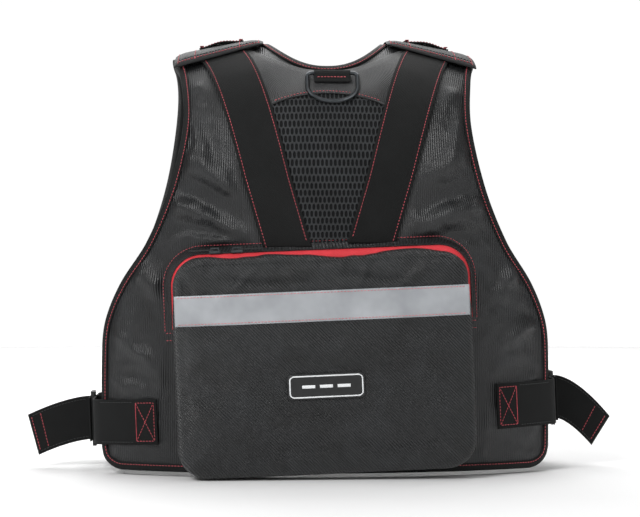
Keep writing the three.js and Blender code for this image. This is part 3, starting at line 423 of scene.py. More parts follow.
# %% Thread, tape, metal, moulding and foam finishes
def plain(name, low, high, size, rough, bump_size, depth, **shader):
    """A solid finish: mottled colour and roughness, and fine grain as bump."""
    material, tree, surface = start_finish(name, **shader)
    place = node(tree, "TexCoord").outputs["Object"]
    colour, factor = mottled(tree, place, low, high, size)
    tree.links.new(colour, surface.inputs["Base Color"])
    rough_between(tree, surface, factor, *rough)
    grain = node(tree, "TexNoise", {"Vector": place, "Scale": 1 / bump_size, "Detail": 4.0})
    bump = node(tree, "Bump", {"Height": grain.outputs["Fac"], "Distance": depth, "Strength": 0.5})
    tree.links.new(bump.outputs["Normal"], surface.inputs["Normal"])
    return material


red_thread = plain("red_polyester_thread", "#a83540", "#cc4a55", 0.01, (0.45, 0.6), 0.0006, 0.0002,
                   Sheen_Weight=0.3)
pink_thread = plain("pale_red_thread", "#b8646c", "#cf8288", 0.01, (0.45, 0.6), 0.0006, 0.0002,
                    Sheen_Weight=0.3)
dark_thread = plain("black_thread", "#111213", "#1c1e1f", 0.01, (0.5, 0.65), 0.0006, 0.0002,
                    Sheen_Weight=0.2)
gunmetal = plain("gunmetal_plating", "#4b4e51", "#63676a", 0.012, (0.24, 0.38), 0.0008, 0.00004,
                 Metallic=1.0)
acetal = plain("moulded_acetal", "#111314", "#1a1c1d", 0.02, (0.36, 0.5), 0.0007, 0.00006,
               Coat_Weight=0.1)
coil_nylon = plain("nylon_zip_coil", "#101112", "#1a1b1c", 0.01, (0.32, 0.45), 0.0009, 0.00005)
pull_cord = plain("moulded_cord_pull", "#121314", "#1e2021", 0.008, (0.5, 0.65), 0.0008, 0.00015)
foam_sheet = plain("closed_cell_foam", "#7e8182", "#8f9293", 0.004, (0.85, 0.95), 0.0012, 0.0003)
badge_rubber = plain("moulded_badge_rubber", "#dfe1e3", "#eef0f1", 0.02, (0.42, 0.55), 0.001, 0.0001)
badge_print = plain("badge_ground", "#101112", "#191a1b", 0.01, (0.5, 0.6), 0.001, 0.0001)


def reflective_finish():
    """Silver film of glass beads: fine sparkle cells, diagonal pressed grid, slightly metallic."""
    material, tree, surface = start_finish("glass_bead_tape", Metallic=0.2, Specular_IOR_Level=0.5)
    uv = node(tree, "UVMap", uv_map="cloth").outputs["UV"]
    place = node(tree, "TexCoord").outputs["Object"]
    colour, factor = mottled(tree, place, "#94979b", "#aeb1b5", 0.05)
    tree.links.new(colour, surface.inputs["Base Color"])
    rough_between(tree, surface, factor, 0.42, 0.55)
    beads = node(tree, "TexVoronoi", {"Vector": uv, "Scale": 1400.0})
    weave = bands(tree, uv, 0.0022, "DIAGONAL")
    height = node(tree, "Math", {0: beads.outputs["Distance"], 1: weave}, operation="ADD")
    bump = node(tree, "Bump", {"Height": height.outputs[0], "Distance": 0.0001, "Strength": 0.5})
    tree.links.new(bump.outputs["Normal"], surface.inputs["Normal"])
    return material


reflective = reflective_finish()

# %% [markdown]
# ## Stitching
# Red thread in long stitches runs along every tape and webbing. A stitch is a small six-sided
# spindle that dives into the cloth at both ends. One mesh holds a whole seam.


# %% Stitches
def stitches(name, path, out, material=red_thread, body="vest", pitch=3.6, long=2.7, radius=0.42,
             lift=0.12):
    """Spindles along a path: radius r sin(pi t)^(1/3), sunk by r at the ends, repeated each pitch."""
    path, out = np.asarray(path, float), np.asarray(out, float)
    run = run_along(path)
    start = np.arange(0.3 * pitch, run[-1] - long, pitch)
    t = np.linspace(0, 1, 6)
    at = start[:, None] + long * t[None, :]
    centre = np.stack([np.interp(at, run, path[:, k]) for k in range(3)], -1)
    up = unit(np.stack([np.interp(at, run, out[:, k]) for k in range(3)], -1))
    side = unit(np.cross(np.gradient(centre, axis=1), up))
    width = radius * np.maximum(np.sin(math.pi * np.clip(t, 0.03, 0.97)), 0.05) ** (1 / 3)
    centre = centre + up * (lift + radius * (np.sin(math.pi * t) ** 0.5 - 0.6))[None, :, None]
    turn = np.arange(6) * math.pi / 3
    ring = (np.cos(turn)[None, None, :, None] * side[:, :, None]
            + np.sin(turn)[None, None, :, None] * up[:, :, None])
    points = centre[:, :, None] + ring * width[None, :, None, None]
    caps = np.array([[0, 1, 2, 3], [0, 3, 4, 5], [33, 32, 31, 30], [35, 34, 33, 30]])
    return small_shapes(name, points, caps, centre[0].mean(0), material, body)


def seam(name, path, stand, material=red_thread, **how):
    """Stitches along [x, girth] points of the torso at a stand."""
    x, girth = resample(path, 1.5).T
    return stitches(name, on_torso(x, girth, stand), torso_normal(x, girth), material, **how)


# %% [markdown]
# ## Panels
# A panel is lining, foam and shell cut to one outline. The shell's cloth is a little larger than
# the foam, so it wrinkles where nothing holds it. The folds are ridges and valleys along lines
# between the armhole and the pocket, laid over a soft noise, and they die away at every seam.

# %% Braces, pocket and fold formulas
POCKET_WIDE, POCKET_HIGH, POCKET_CORNER = 325.0, 243.0, 34.0
POCKET_X, POCKET_Z = -5.5, 121.0
BRACE_TOP, BRACE_FOOT = (106.0, 441.0), (49.5, 263.0)
brace_run = np.array([BRACE_TOP[0] - BRACE_FOOT[0], back_girth(*BRACE_TOP) - BRACE_FOOT[1]])
BRACE_X, BRACE_UP = brace_run / np.linalg.norm(brace_run)


def step_up(low, high, value):
    t = np.clip((value - low) / (high - low), 0, 1)
    return t * t * (3 - 2 * t)


def beside_brace(x, girth):
    """Distance outwards from a brace's middle line."""
    return (np.abs(x) - BRACE_FOOT[0]) * BRACE_UP - (girth - BRACE_FOOT[1]) * BRACE_X


def to_pocket(x, z):
    """(u, w) of a point in the pocket's tilted frame."""
    dx, dz = x - POCKET_X, z - POCKET_Z
    return dx * math.cos(TILT) + dz * math.sin(TILT), -dx * math.sin(TILT) + dz * math.cos(TILT)


def off_pocket(x, z):
    """Distance outside the pocket's outline, negative within it."""
    u, w = to_pocket(x, z)
    du = np.abs(u) - POCKET_WIDE / 2 + POCKET_CORNER
    dw = np.abs(w) - POCKET_HIGH / 2 + POCKET_CORNER
    beyond = np.hypot(np.maximum(du, 0), np.maximum(dw, 0))
    return beyond + np.minimum(np.maximum(du, dw), 0) - POCKET_CORNER


def folds(x, z, lines):
    """Sum of height * exp(-(across/width)^2) * exp(-(along/half length)^4) over the fold lines."""
    total = np.zeros_like(x)
    for x0, z0, x1, z1, width, height in lines:
        half = math.hypot(x1 - x0, z1 - z0) / 2
        dx, dz = (x1 - x0) / 2 / half, (z1 - z0) / 2 / half
        bend = 5 * smooth_noise(x, z, 34, int(abs(x0) + abs(z0)))
        along = (x - (x0 + x1) / 2) * dx + (z - (z0 + z1) / 2) * dz
        across = -(x - (x0 + x1) / 2) * dz + (z - (z0 + z1) / 2) * dx + bend
        total += 1.5 * height * np.exp(-(across / width) ** 2 - (along / half) ** 4)
    return total


BACK_FOLDS = [
    (-168, 352, -98, 306, 12, 5.5), (-172, 322, -92, 282, 10, -4), (-186, 300, -92, 262, 10, 5),
    (-205, 262, -110, 262, 9, -3), (-215, 236, -180, 190, 9, 4), (-152, 400, -130, 330, 8, 3),
    (-222, 150, -188, 120, 8, 3), (-226, 110, -190, 95, 7, -2.5), (-160, 262, -100, 250, 7, 3),
    (165, 356, 108, 318, 12, 5), (170, 318, 96, 288, 10, -4), (186, 296, 96, 274, 11, 5.5),
    (206, 268, 120, 256, 8, -3), (216, 240, 186, 186, 9, 4), (150, 402, 132, 340, 8, 3),
    (228, 160, 188, 130, 8, 3.5), (226, 112, 190, 100, 7, -2.5), (160, 275, 100, 262, 7, 3),
]


def back_wrinkles(x, girth, edge_gap):
    """Folds and noise, times how free the cloth is: away from braces, pocket, yokes and edges."""
    z = np.minimum(girth, 470)
    free = step_up(26, 42, beside_brace(x, girth)) * step_up(2, 14, off_pocket(x, z))
    free = free * step_up(3, 18, edge_gap) * (1 - step_up(425, 450, girth))
    soft = 2.2 * smooth_noise(x, girth, 26, 3)
    soft = soft + 1.1 * smooth_noise(x + 0.5 * girth, girth - 0.4 * x, 11, 5)
    crease = 0.35 * smooth_noise(x + girth, 0.6 * girth - x, 5, 8)
    rise = folds(x, z, BACK_FOLDS) + soft + crease + 1.6
    return free * (rise + np.sqrt(rise ** 2 + 1.2)) / 2      # never sinks into the foam


# %% Panel layers
def soft_size(points):
    """Flat width and length of a cloth in metres, and its area."""
    across, up = lengths(points, 1)[:, -1], lengths(points, 0)[-1]
    a, b = points[1:, 1:] - points[:-1, :-1], points[1:, :-1] - points[:-1, 1:]
    area = np.linalg.norm(np.cross(a, b), axis=-1).sum() / 2 * 1e-6
    return (float(across.max()), float(up.max())), float(area)


SHEET_SIZES = {}


def declare_sheet(piece, points):
    flat, area = soft_size(points)
    SHEET_SIZES[piece.name] = [round(flat[0], 3), round(flat[1], 3), round(area, 4)]


def even(low, high, count):
    return np.linspace(low, high, count + 1)


def toward_ends(count, power=0.6):
    """Steps from -1 to 1 that are closer together near the ends."""
    t = np.linspace(-1, 1, count + 1)
    return (1 - power) * t + power * np.sin(t * math.pi / 2)


CHEST_X = even(-1.05 * HEM_HALF, 1.05 * HEM_HALF, 400)
CHEST_ARC = lengths(on_torso(CHEST_X, np.full_like(CHEST_X, 250.0), 0.0)[None], 1)[0]


def panel_grid(panel, a, b, stand, wrinkle=None):
    """Points and normals of a panel, and their places on the flat cloth: run round the chest, girth."""
    A, B = np.meshgrid(a, b)
    x, girth = panel(A, B)
    if wrinkle is not None:
        stand = stand + wrinkle(x, girth)
    flat = np.stack([np.interp(x, CHEST_X, CHEST_ARC), girth * 0.001], -1)
    return on_torso(x, girth, stand), torso_normal(x, girth), flat


def back_gap(x, girth):
    side = half_width(BACK_CUT, girth) - np.abs(x)
    return back_wrinkles(x, girth, np.minimum(side, girth - hem_rise(x)))


def lay_panel(which, ending, panel, grids, wrinkle):
    """Shell, foam and lining of one panel, each on its own grid; gives the shell."""
    layers = (("shell", "shell_cloth", SHELL, CLOTH_THICK, shell_cloth, wrinkle),
              ("foam", "foam_sheet", FOAM, FOAM_THICK, foam_sheet, None),
              ("lining", "lining_cloth", LINING, CLOTH_THICK, lining_cloth, None))
    made = []
    for (layer, word, stand, thick, material, shape), (a, b) in zip(layers, grids):
        points, normal, flat = panel_grid(panel, a, b, stand, shape)
        piece = cloth(f"{which}_{word}{ending}", points, normal, thick, material,
                      stands_for=[f"{which}_{layer}{ending}"], flat=flat)
        if layer == "foam":
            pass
        else:
            declare_sheet(piece, points)
        made.append(piece)
    return made[0]


back_shell = lay_panel("back", "", back_panel, (
    (toward_ends(226, 0.3), even(0, 1, 208)),
    (toward_ends(60, 0.3), even(0, 1, 60)),
    (toward_ends(110, 0.3), even(0, 1, 110)),
), back_gap)
print("back shell points", len(back_shell.data.vertices))

# %% Front panels
# The front is cut like the back but opens down the middle. Its folds are soft noise only,
# because the pockets hold it.
# A pocket is given as its width, its height, and how far its middle lies out and up the front.
CHEST, LOWER = (94.0, 96.0, 114.0, 303.0), (170.0, 135.0, 118.0, 103.0)


def front_wrinkles(x, girth, edge_gap):
    soft = 1.5 * smooth_noise(x, girth, 30, 13) + 0.7 * smooth_noise(x + 0.5 * girth, girth, 12, 15)
    run = 2 * CREST - girth
    clear = np.ones_like(x)
    for wide, high, offset, middle in (CHEST, LOWER):
        out = np.maximum(np.abs(np.abs(x) - offset) - wide / 2, np.abs(run - middle) - high / 2)
        clear = clear * step_up(2, 12, out)
    free = step_up(3, 18, edge_gap) * clear * (1 - step_up(425, 450, run))
    rise = soft + 1.0
    return free * (rise + np.sqrt(rise ** 2 + 1.0)) / 2


def front_gap(x, girth):
    run = 2 * CREST - girth
    side_gap = np.minimum(half_width(FRONT_CUT, run) - np.abs(x), np.abs(x) - OPENING_HALF)
    return front_wrinkles(x, girth, np.minimum(side_gap, run - hem_rise(x)))


for label, side in SIDES:
    lay_panel("front", f"_{label}", partial(front_panel, side), (
        ((toward_ends(120, 0.3) + 1) / 2, even(0, 1, 200)),
        ((toward_ends(40, 0.3) + 1) / 2, even(0, 1, 60)),
        ((toward_ends(60, 0.3) + 1) / 2, even(0, 1, 110)),
    ), front_gap)
print("panels", len(SHEET_SIZES))

# %% [markdown]
# ## Binding
# A folded tape closes every raw edge. It is a U-shaped profile carried along the panel's outline,
# with a red seam a few millimetres in from the fold on both faces.

# %% Binding tapes
def fold_outline(reach=7.0, wall=1.0, gap=0.8):
    """U round the panel's edge: (inward, out) points, out measured from the lining's inner face."""
    low, high, turn = -gap - 1.2, SHELL + gap + 0.6, np.linspace(0, math.pi, 9)
    middle, half = (low + high) / 2, (high - low) / 2
    outer = np.stack([-gap - 1.3 * np.sin(turn), middle + half * np.cos(turn)], 1)
    inner = np.stack([-gap + 0.2 - 0.6 * np.sin(turn), middle + (half - wall) * np.cos(turn)], 1)[::-1]
    first = [(reach, high + 0.25), (reach * 0.5, high + 0.35)]
    last = [(reach * 0.5, low - 0.5), (reach, low - 0.9)]
    back = [(reach, low + wall - 0.9), (reach * 0.5, low + wall - 0.4)]
    front = [(reach * 0.5, high - wall + 0.35), (reach, high - wall + 0.25)]
    return np.concatenate([first, outer, last, back, inner, front])


def bind(name, edge, side, node_name):
    """The fold carried along an edge, and two seams 5 mm in, one on each face."""
    path = resample(edge, 2.5)
    at, inward, out = frames_on_torso(path, 0.0, side)
    sweep(name, at, inward, out, fold_outline(), binding_tape, stands_for=[node_name])
    fine = resample(edge, 1.5)
    at, inward, out = frames_on_torso(fine, 0.0, side)
    stitches(f"{name}_seam", at + 5.0 * inward + (SHELL + 1.85) * out, out)
    stitches(f"{name}_inner_seam", at + 5.0 * inward - 2.6 * out, -out)


def edge_points(panel, runs):
    """[x, girth] along a panel's edge, from runs of (a, b)."""
    return np.concatenate([np.stack(panel(a, b), -1).reshape(-1, 2) for a, b in runs])


fine = even(0, 1, 240)
edge = edge_points(back_panel, [(-1, fine[::-1]), (even(-1, 1, 300)[1:-1], 0), (1, fine)])
bind("back_edge_binding", edge, 1, "back_binding")
for label, side in SIDES:
    edge = edge_points(partial(front_panel, side), [(1, fine[::-1]), (fine[::-1][1:], 0)])
    bind(f"front_edge_binding_{label}", edge, side, f"front_binding_{label}")
front_share = (NECK_HALF - OPENING_HALF) / (SHOULDER_HALF - OPENING_HALF)
front_neck = front_share * np.sin(even(0, 1, 60) * math.pi / 2)
back_neck = NECK_HALF / SHOULDER_HALF * np.sin(even(-1, 1, 120) * math.pi / 2)
neck = np.concatenate([
    edge_points(partial(front_panel, -1), [(front_neck[:-1], 1)]),
    edge_points(back_panel, [(back_neck, 1)]),
    edge_points(partial(front_panel, 1), [(front_neck[::-1][1:], 1)]),
])
bind("neck_edge_binding", neck, -1, "neck_binding")

# %% [markdown]
# ## Webbing braces, mesh and patches
# Two wide braces run from the shoulders to the pocket in a V. Between them the shell carries an
# open air mesh. Each of its holes is a rounded slot in a six-sided cell, so it is cut as real
# geometry, and the dark shell shows through it.

# %% Braces
def pocket_top(x):
    return POCKET_Z + POCKET_HIGH / 2 + (x - POCKET_X) * math.tan(TILT) + 1.2


def on_brace(side, up, outwards):
    """[x, girth] at a distance up a brace from its foot and outwards from its middle."""
    x = BRACE_FOOT[0] + BRACE_X * up + BRACE_UP * outwards
    return side * x, BRACE_FOOT[1] + BRACE_UP * up - BRACE_X * outwards


def inner_edge(girth):
    up = (girth - BRACE_FOOT[1] - BRACE_X * WEB_WIDE / 2) / BRACE_UP
    return on_brace(1, up, -WEB_WIDE / 2)[0]


BRACE_STAND = SEWN + 2.7
brace_end = (CREST - 12.9 - BRACE_FOOT[1]) / BRACE_UP
for label, side in SIDES:
    brace_start = (pocket_top(side * BRACE_FOOT[0]) - BRACE_FOOT[1]) / BRACE_UP - 4
    A, B = np.meshgrid(even(-1, 1, 40), even(0, 1, 130))
    foot = brace_start + BRACE_X * (A + 1) * WEB_WIDE / 2 / BRACE_UP
    x, girth = on_brace(side, foot + B * (brace_end - foot), A * WEB_WIDE / 2)
    lip = 0.35 * np.exp(-((np.abs(A) - 0.9) / 0.04) ** 2) + 0.25 * smooth_noise(x, girth, 20, 21)
    points = on_torso(x, girth, BRACE_STAND + lip)
    brace = cloth(f"back_brace_webbing_{label}", points, torso_normal(x, girth), WEB_THICK, webbing,
                  stands_for=[f"back_brace_{label}"])
    declare_sheet(brace, points)
    for edge_name, off in (("outer", 21.5), ("inner", -21.5)):
        up = even(brace_start + 8, brace_end, 60)
        x, girth = on_brace(side, up, off)
        seam(f"back_brace_{label}_{edge_name}_seam", np.stack([x, girth], 1), BRACE_STAND)


# %% Air mesh
MESH_ARC, MESH_RISE = 400.0, 12.0
CELL_WIDE, CELL_HIGH = 4.6, 7.6
SLOT_WIDE, SLOT_HIGH = 3.3, 6.7


def mesh_top(x):
    return back_girth(x, MESH_ARC + MESH_RISE * (1 - (x / inner_edge(MESH_ARC)) ** 2))


def slot_net(keep, stand):
    """Cells of a brick pattern: the hexagon's outline joined to a slot |x/a|^3 + |z/b|^3 = 1."""
    rows, columns = np.meshgrid(np.arange(0, 28), np.arange(-20, 21), indexing="ij")
    cx = (columns + 0.5 * (rows % 2)) * CELL_WIDE
    cz = pocket_top(0) - 12 + (rows + 0.5) * CELL_HIGH
    inside = keep(cx, cz)
    cx, cz = cx[inside], cz[inside]
    shoulder = CELL_HIGH / 2 - 1.2
    hexagon = np.array([(1, 0), (1, 0.5), (1, 1), (0.5, 1.5), (0, 2), (-0.5, 1.5), (-1, 1), (-1, 0.5),
                        (-1, 0), (-1, -0.5), (-1, -1), (-0.5, -1.5), (0, -2), (0.5, -1.5), (1, -1),
                        (1, -0.5)])
    high = np.where(np.abs(hexagon[:, 1]) <= 1, np.abs(hexagon[:, 1]) * shoulder,
                    shoulder + (np.abs(hexagon[:, 1]) - 1) * 2.4) * np.sign(hexagon[:, 1])
    outer = np.stack([hexagon[:, 0] * CELL_WIDE / 2, high], 1)
    turn = np.arctan2(outer[:, 1] / SLOT_HIGH, outer[:, 0] / SLOT_WIDE)
    power = (np.abs(np.cos(turn)) ** 3 + np.abs(np.sin(turn)) ** 3) ** (-1 / 3)
    inner = np.stack([np.cos(turn) * power * SLOT_WIDE / 2, np.sin(turn) * power * SLOT_HIGH / 2], 1)
    ring = np.stack([outer, (outer * 0.3 + inner * 0.7), inner])
    place = ring[None] + np.stack([cx, cz], -1)[:, None, None]
    girth = place[..., 1]
    level = np.array([0.0, 0.45, 0.0])[None, :, None] - 0.15
    points = on_torso(place[..., 0], girth, stand + level)
    normals = torso_normal(place[..., 0], girth)
    one = grid_faces(3, 16, wrap_columns=True)
    faces = (one[None] + 48 * np.arange(len(cx))[:, None, None]).reshape(-1, 4)
    faces = outward(points, faces, normals)
    flat, first, same = np.unique(np.round(place.reshape(-1, 2), 2), axis=0, return_index=True,
                                  return_inverse=True)
    return points.reshape(-1, 3)[first], same.reshape(-1)[faces], flat * 0.001, len(cx)


def in_mesh(x, z):
    room = inner_edge(z) + 2.0
    return (np.abs(x) < room) & (z < mesh_top(np.clip(x, -90, 90)) - 1) & (z > pocket_top(x) - 10)


points, faces, flat, cells = slot_net(in_mesh, SEWN + 1.1)
net = new_object("air_mesh_panel", points, faces, flat, air_mesh, "vest", ["mesh_panel"])
give_thickness(net, 0.7)
A, B = np.meshgrid(even(-1, 1, 40), even(0, 1, 60))
foot = pocket_top(0) - 12
girth = foot + B * (mesh_top(A * (inner_edge(MESH_ARC) - 2)) - foot)
x = A * (inner_edge(girth) + 1.5)
points = on_torso(x, girth, SEWN + 0.1)
backing = cloth("air_mesh_backing", points, torso_normal(x, girth), 0.3, lining_cloth)
declare_sheet(backing, points)
print("mesh cells", cells)

# %% Patch above the mesh and its seam
across = inner_edge(MESH_ARC) + 3
A, B = np.meshgrid(even(-1, 1, 60), even(0, 1, 40))
foot = mesh_top(A * across) - 5
head = CREST - np.maximum(neck_drop(A * across, *BACK_NECK) + 8, 34)
girth = foot + B * (head - foot)
x = A * (inner_edge(girth) + 3)
swell = 0.6 + 0.8 * np.clip(np.minimum(1 - np.abs(A), 1 - B) * 5, 0, 1)
swell = swell + 0.25 * smooth_noise(x, girth, 14, 31)
points = on_torso(x, girth, SEWN + 1.4 + swell)
patch = cloth("back_yoke_cloth", points, torso_normal(x, girth), 1.2, shell_cloth, stands_for=["back_yoke"])
declare_sheet(patch, points)
x = even(-0.93, 0.93, 60) * inner_edge(MESH_ARC)
seam("mesh_arc_seam", np.stack([x, mesh_top(x) - 2.2], 1), SEWN + 2.4)

# %% [markdown]
# ## Shoulder yokes and loops
# A padded yoke saddles each shoulder, sewn down at its sides and free at its lower back edge, so
# a dark gap shows beneath it. The padding is a real cloth simulation: a thin pillow is inflated
# a little, and its seams are then laid onto the inflated surface.

# %% Yoke formulas
YOKE_FOOT, YOKE_FALL, YOKE_THICK = 461.0, 0.28, 3.0
YOKE_STAND = 14.1 + 1.2


def on_yoke(side, a, b):
    """[x, girth] of a yoke: a from the neck to the shoulder's end, b from its back edge to its front."""
    x = NECK_HALF + 3 + a * (SHOULDER_HALF - NECK_HALF - 6)
    reach = CREST - back_girth(x, YOKE_FOOT - YOKE_FALL * (x - NECK_HALF))
    return side * x, CREST + (2 * b - 1) * reach


def inflate(piece, reach, pressure=3.0, frames=14):
    """Cloth simulation with pressure, applied: points may move by at most the reach."""
    start = np.empty(len(piece.data.vertices) * 3, np.float32)
    piece.data.vertices.foreach_get("co", start)
    pad = piece.modifiers.new("inflation", "CLOTH")
    pad.settings.quality = 4
    pad.settings.use_pressure = True
    pad.settings.uniform_pressure_force = pressure
    pad.settings.effector_weights.gravity = 0
    pad.settings.tension_stiffness = 25
    pad.settings.bending_stiffness = 0.4
    scene = bpy.context.scene
    pad.point_cache.frame_start, pad.point_cache.frame_end = 1, frames
    for frame_number in range(1, frames + 1):
        scene.frame_set(frame_number)
    shape = piece.evaluated_get(bpy.context.evaluated_depsgraph_get()).data
    moved = np.empty_like(start)
    shape.vertices.foreach_get("co", moved)
    piece.modifiers.remove(pad)
    scene.frame_set(1)
    shift = (moved - start).reshape(-1, 3)
    size = np.linalg.norm(shift, axis=1, keepdims=True)
    shift *= np.minimum(1, reach * 0.001 / np.maximum(size, 1e-9))
    piece.data.vertices.foreach_set("co", (start.reshape(-1, 3) + shift).ravel())
    piece.data.update()
    return float(size.max() * 1000)


def pillow(name, lower, upper, material, stands_for):
    """Closed pad between two grids of points that share their outline."""
    rows, columns = upper.shape[:2]
    size = rows * columns
    top = grid_faces(rows, columns)
    bottom = grid_faces(rows, columns)[:, ::-1] + size
    j, i = np.arange(rows), np.arange(columns)
    edge = np.concatenate([i[:-1], j[:-1] * columns + columns - 1,
                           (rows - 1) * columns + i[:0:-1], j[:0:-1] * columns])
    following = np.roll(edge, -1)
    wall = np.stack([following, edge, edge + size, following + size], -1)
    points = np.concatenate([upper.reshape(-1, 3), lower.reshape(-1, 3)])
    faces = np.concatenate([top, bottom, wall])
    p = points[faces]
    volume = (p[:, 0] * np.cross(p[:, 2] - p[:, 0], p[:, 3] - p[:, 1])).sum()
    if volume < 0:
        faces = faces[:, ::-1]
    uv = np.stack([lengths(upper, 1), lengths(upper, 0)], -1).reshape(-1, 2)
    return new_object(name, points, faces, np.concatenate([uv, uv]), material, "vest", stands_for)


def laid_on(piece, points, out, reach=14.0):
    """The points dropped along -out onto a piece's finished surface, from a reach above it."""
    tree = BVHTree.FromObject(piece, bpy.context.evaluated_depsgraph_get())
    dropped = []
    for point, away in zip(points, out):
        above = Vector((point + reach * away) * 0.001)
        found = tree.ray_cast(above, Vector(-away), 2.5 * reach * 0.001)[0]
        dropped.append(point if found is None else np.array(found) * 1000)
    return np.array(dropped)


for label, side in SIDES:
    A, B = np.meshgrid(even(0, 1, 34), even(0, 1, 44))
    x, girth = on_yoke(side, A, B)
    rim = np.minimum(np.minimum(A, 1 - A) * 8, np.minimum(B, 1 - B) * 9)
    pad = 0.7 + 2.4 * np.clip(rim, 0, 1) ** 0.6
    upper = on_torso(x, girth, YOKE_STAND + pad)
    lower = on_torso(x, girth, YOKE_STAND - 0.3)
    yoke = pillow(f"shoulder_yoke_pad_{label}", lower, upper, yoke_cloth, [f"shoulder_yoke_{label}"])
    print(yoke.name, "inflated by up to", round(inflate(yoke, 2.2), 2), "mm")
    fine = yoke.modifiers.new("rounder cloth", "SUBSURF")
    fine.levels = fine.render_levels = 1
    t = even(0.03, 0.97, 120)
    lines = {"back": (t, 0.06), "front": (t, 0.94), "neck": (0.05, t), "end": (0.95, t),
             "back_second": (t, 0.1), "loop_inner": (0.26, t), "loop_outer": (0.76, t)}
    for name, (a, b) in lines.items():
        x, girth = on_yoke(side, a, b)
        out = torso_normal(x, girth)
        path = laid_on(yoke, on_torso(x, girth, YOKE_STAND), out)
        thread = dark_thread if name == "back_second" else red_thread
        stitches(f"shoulder_yoke_{label}_{name}_seam", path, out, thread)

# %% Shoulder loops and their bartacks
LOOP_X, LOOP_LONG, LOOP_WIDE = 114.0, 50.0, 38.0
LOOP_STAND, LOOP_ARCH = YOKE_STAND + YOKE_THICK + 1.9, 3.0


def bartack(name, centre, across, along, out, width, long):
    """A dense zigzag: one thread crossing back and forth over a narrow bar."""
    count = max(8, int(long / 0.55))
    t = np.linspace(-0.5, 0.5, count)
    swing = np.where(np.arange(count) % 2, 0.5, -0.5)
    path = resample(centre + np.outer(t * long, along) + np.outer(swing * width, across), 0.8)
    stitches(name, path, facing(path, out), pitch=2.2, long=2.1, radius=0.34)


for label, side in SIDES:
    A, B = np.meshgrid(even(0, 1, 50), even(0, 1, 30))
    x, girth = LOOP_X + (A - 0.5) * LOOP_LONG, CREST + (B - 0.5) * LOOP_WIDE
    points = on_torso(side * x, girth, LOOP_STAND + LOOP_ARCH * np.sin(math.pi * A) ** 2)
    loop = cloth(f"shoulder_loop_webbing_{label}", points, torso_normal(side * x, girth), 1.6, webbing,
                 stands_for=[f"shoulder_loop_{label}"])
    declare_sheet(loop, points)
    for name, b in (("back", 0.09), ("front", 0.91)):
        t = even(0.04, 0.96, 60)
        x, girth = side * (LOOP_X + (t - 0.5) * LOOP_LONG), CREST + (b - 0.5) * LOOP_WIDE
        path = on_torso(x, girth, LOOP_STAND + LOOP_ARCH * np.sin(math.pi * t) ** 2)
        stitches(f"shoulder_loop_{label}_{name}_seam", path, torso_normal(x, girth))
    for end, a in (("inner", 0.06), ("outer", 0.94)):
        at = LOOP_X + (a - 0.5) * LOOP_LONG
        out = torso_normal(side * at, CREST)
        centre = on_torso(side * at, CREST, LOOP_STAND + 0.5)
        bartack(f"shoulder_loop_{label}_{end}_tack", centre, (1.0, 0, 0), (0, 1.0, 0), out, 4.5,
                LOOP_WIDE - 5)
print("yokes and loops made")

# %% [markdown]
# ## Ring and keeper
# The net ring is one bent rod of plated steel, already right in the CAD model, so it only gets its
# finish. Its keeper is webbing folded round the ring's bar, and is made again as a folded strip.

# %% Keeper strip
RING_X, RING_HIGH, RING_ROD = 5.0, 427.0, 4.6
KEEPER_HALF = 51 / 2 - 5 - 0.4      # half the bar's straight length, less a little play
ring_girth = back_girth(RING_X, RING_HIGH)
KEEPER_RADIUS = RING_ROD / 2 + 0.4 + 0.8
ring_seat = on_torso(RING_X, ring_girth, SEWN + 1.0 + 0.4 + RING_ROD / 2 + 0.4 + 1.6)
ring_out = torso_normal(RING_X, ring_girth)
turn = np.linspace(0, math.pi, 17)
profile = np.concatenate([
    [(-1.6, -13.0), (-1.7, -9.0), (-2.2, -6.0), (-KEEPER_RADIUS + 0.2, -3.0)],
    np.stack([-KEEPER_RADIUS * np.cos(turn), KEEPER_RADIUS * np.sin(turn)], 1),
    [(KEEPER_RADIUS - 0.2, -3.0), (1.9, -6.0), (0.9, -9.0), (0.6, -13.0)],
])
profile = resample(profile, 0.8)
ring_up = np.cross(ring_out, np.array([1.0, 0, 0]))
ring_up = ring_up * np.sign(ring_up[2])
across = even(-1, 1, 24) * KEEPER_HALF
points = (ring_seat + across[None, :, None] * np.array([1.0, 0, 0])
          + profile[:, None, :1] * ring_out + profile[:, None, 1:] * ring_up)
outside = np.gradient(profile, axis=0)
outside = np.stack([outside[:, 1], -outside[:, 0]], 1)
hint = outside[:, None, :1] * ring_out + outside[:, None, 1:] * ring_up + 0 * points
if outside[len(outside) // 2, 1] < 0:
    hint = -hint
keeper = cloth("ring_keeper_webbing", points, hint, 1.5, webbing, stands_for=["ring_keeper"])
declare_sheet(keeper, points)
row = np.outer(even(-1, 1, 40) * (KEEPER_HALF - 2.5), [1.0, 0, 0])
row = ring_seat + row - 8.6 * ring_up + 2.6 * ring_out
stitches("ring_keeper_seam", row, facing(row, ring_out))
print("keeper", points.shape)

# %% [markdown]
# ## Back pocket
# The pocket is a wide tray with round corners. Its side wall, the gusset, rises from the back;
# a zip runs round the top and both sides; the face is crowned cloth. The outline is one function
# of an inset, so the wall, the tapes, the coil and the face all follow the same line. Across
# the top the face sits a little lower than the gusset, which is why the red tape shows there.

# %% Pocket formulas
ZIP_DEPTH, RIM, CROWN, ZIP_TAPE, SEAM_GAP = 142.0, 9.0, 10.0, 4.6, 0.9
FACE_DEPTH = ZIP_DEPTH + ZIP_TAPE + SEAM_GAP / 2 + 0.4 + RIM
ZIP_FOOT = -POCKET_HIGH / 2 + POCKET_CORNER + 128
STATIONS = 520                          # points round the outline
TAPE_MIDDLE, TAPE_HIGH, TAPE_LIFT = 61.0, 33.0, 0.8
BADGE_MIDDLE, BADGE_WIDE, BADGE_HIGH = -25.0, 84.0, 28.0


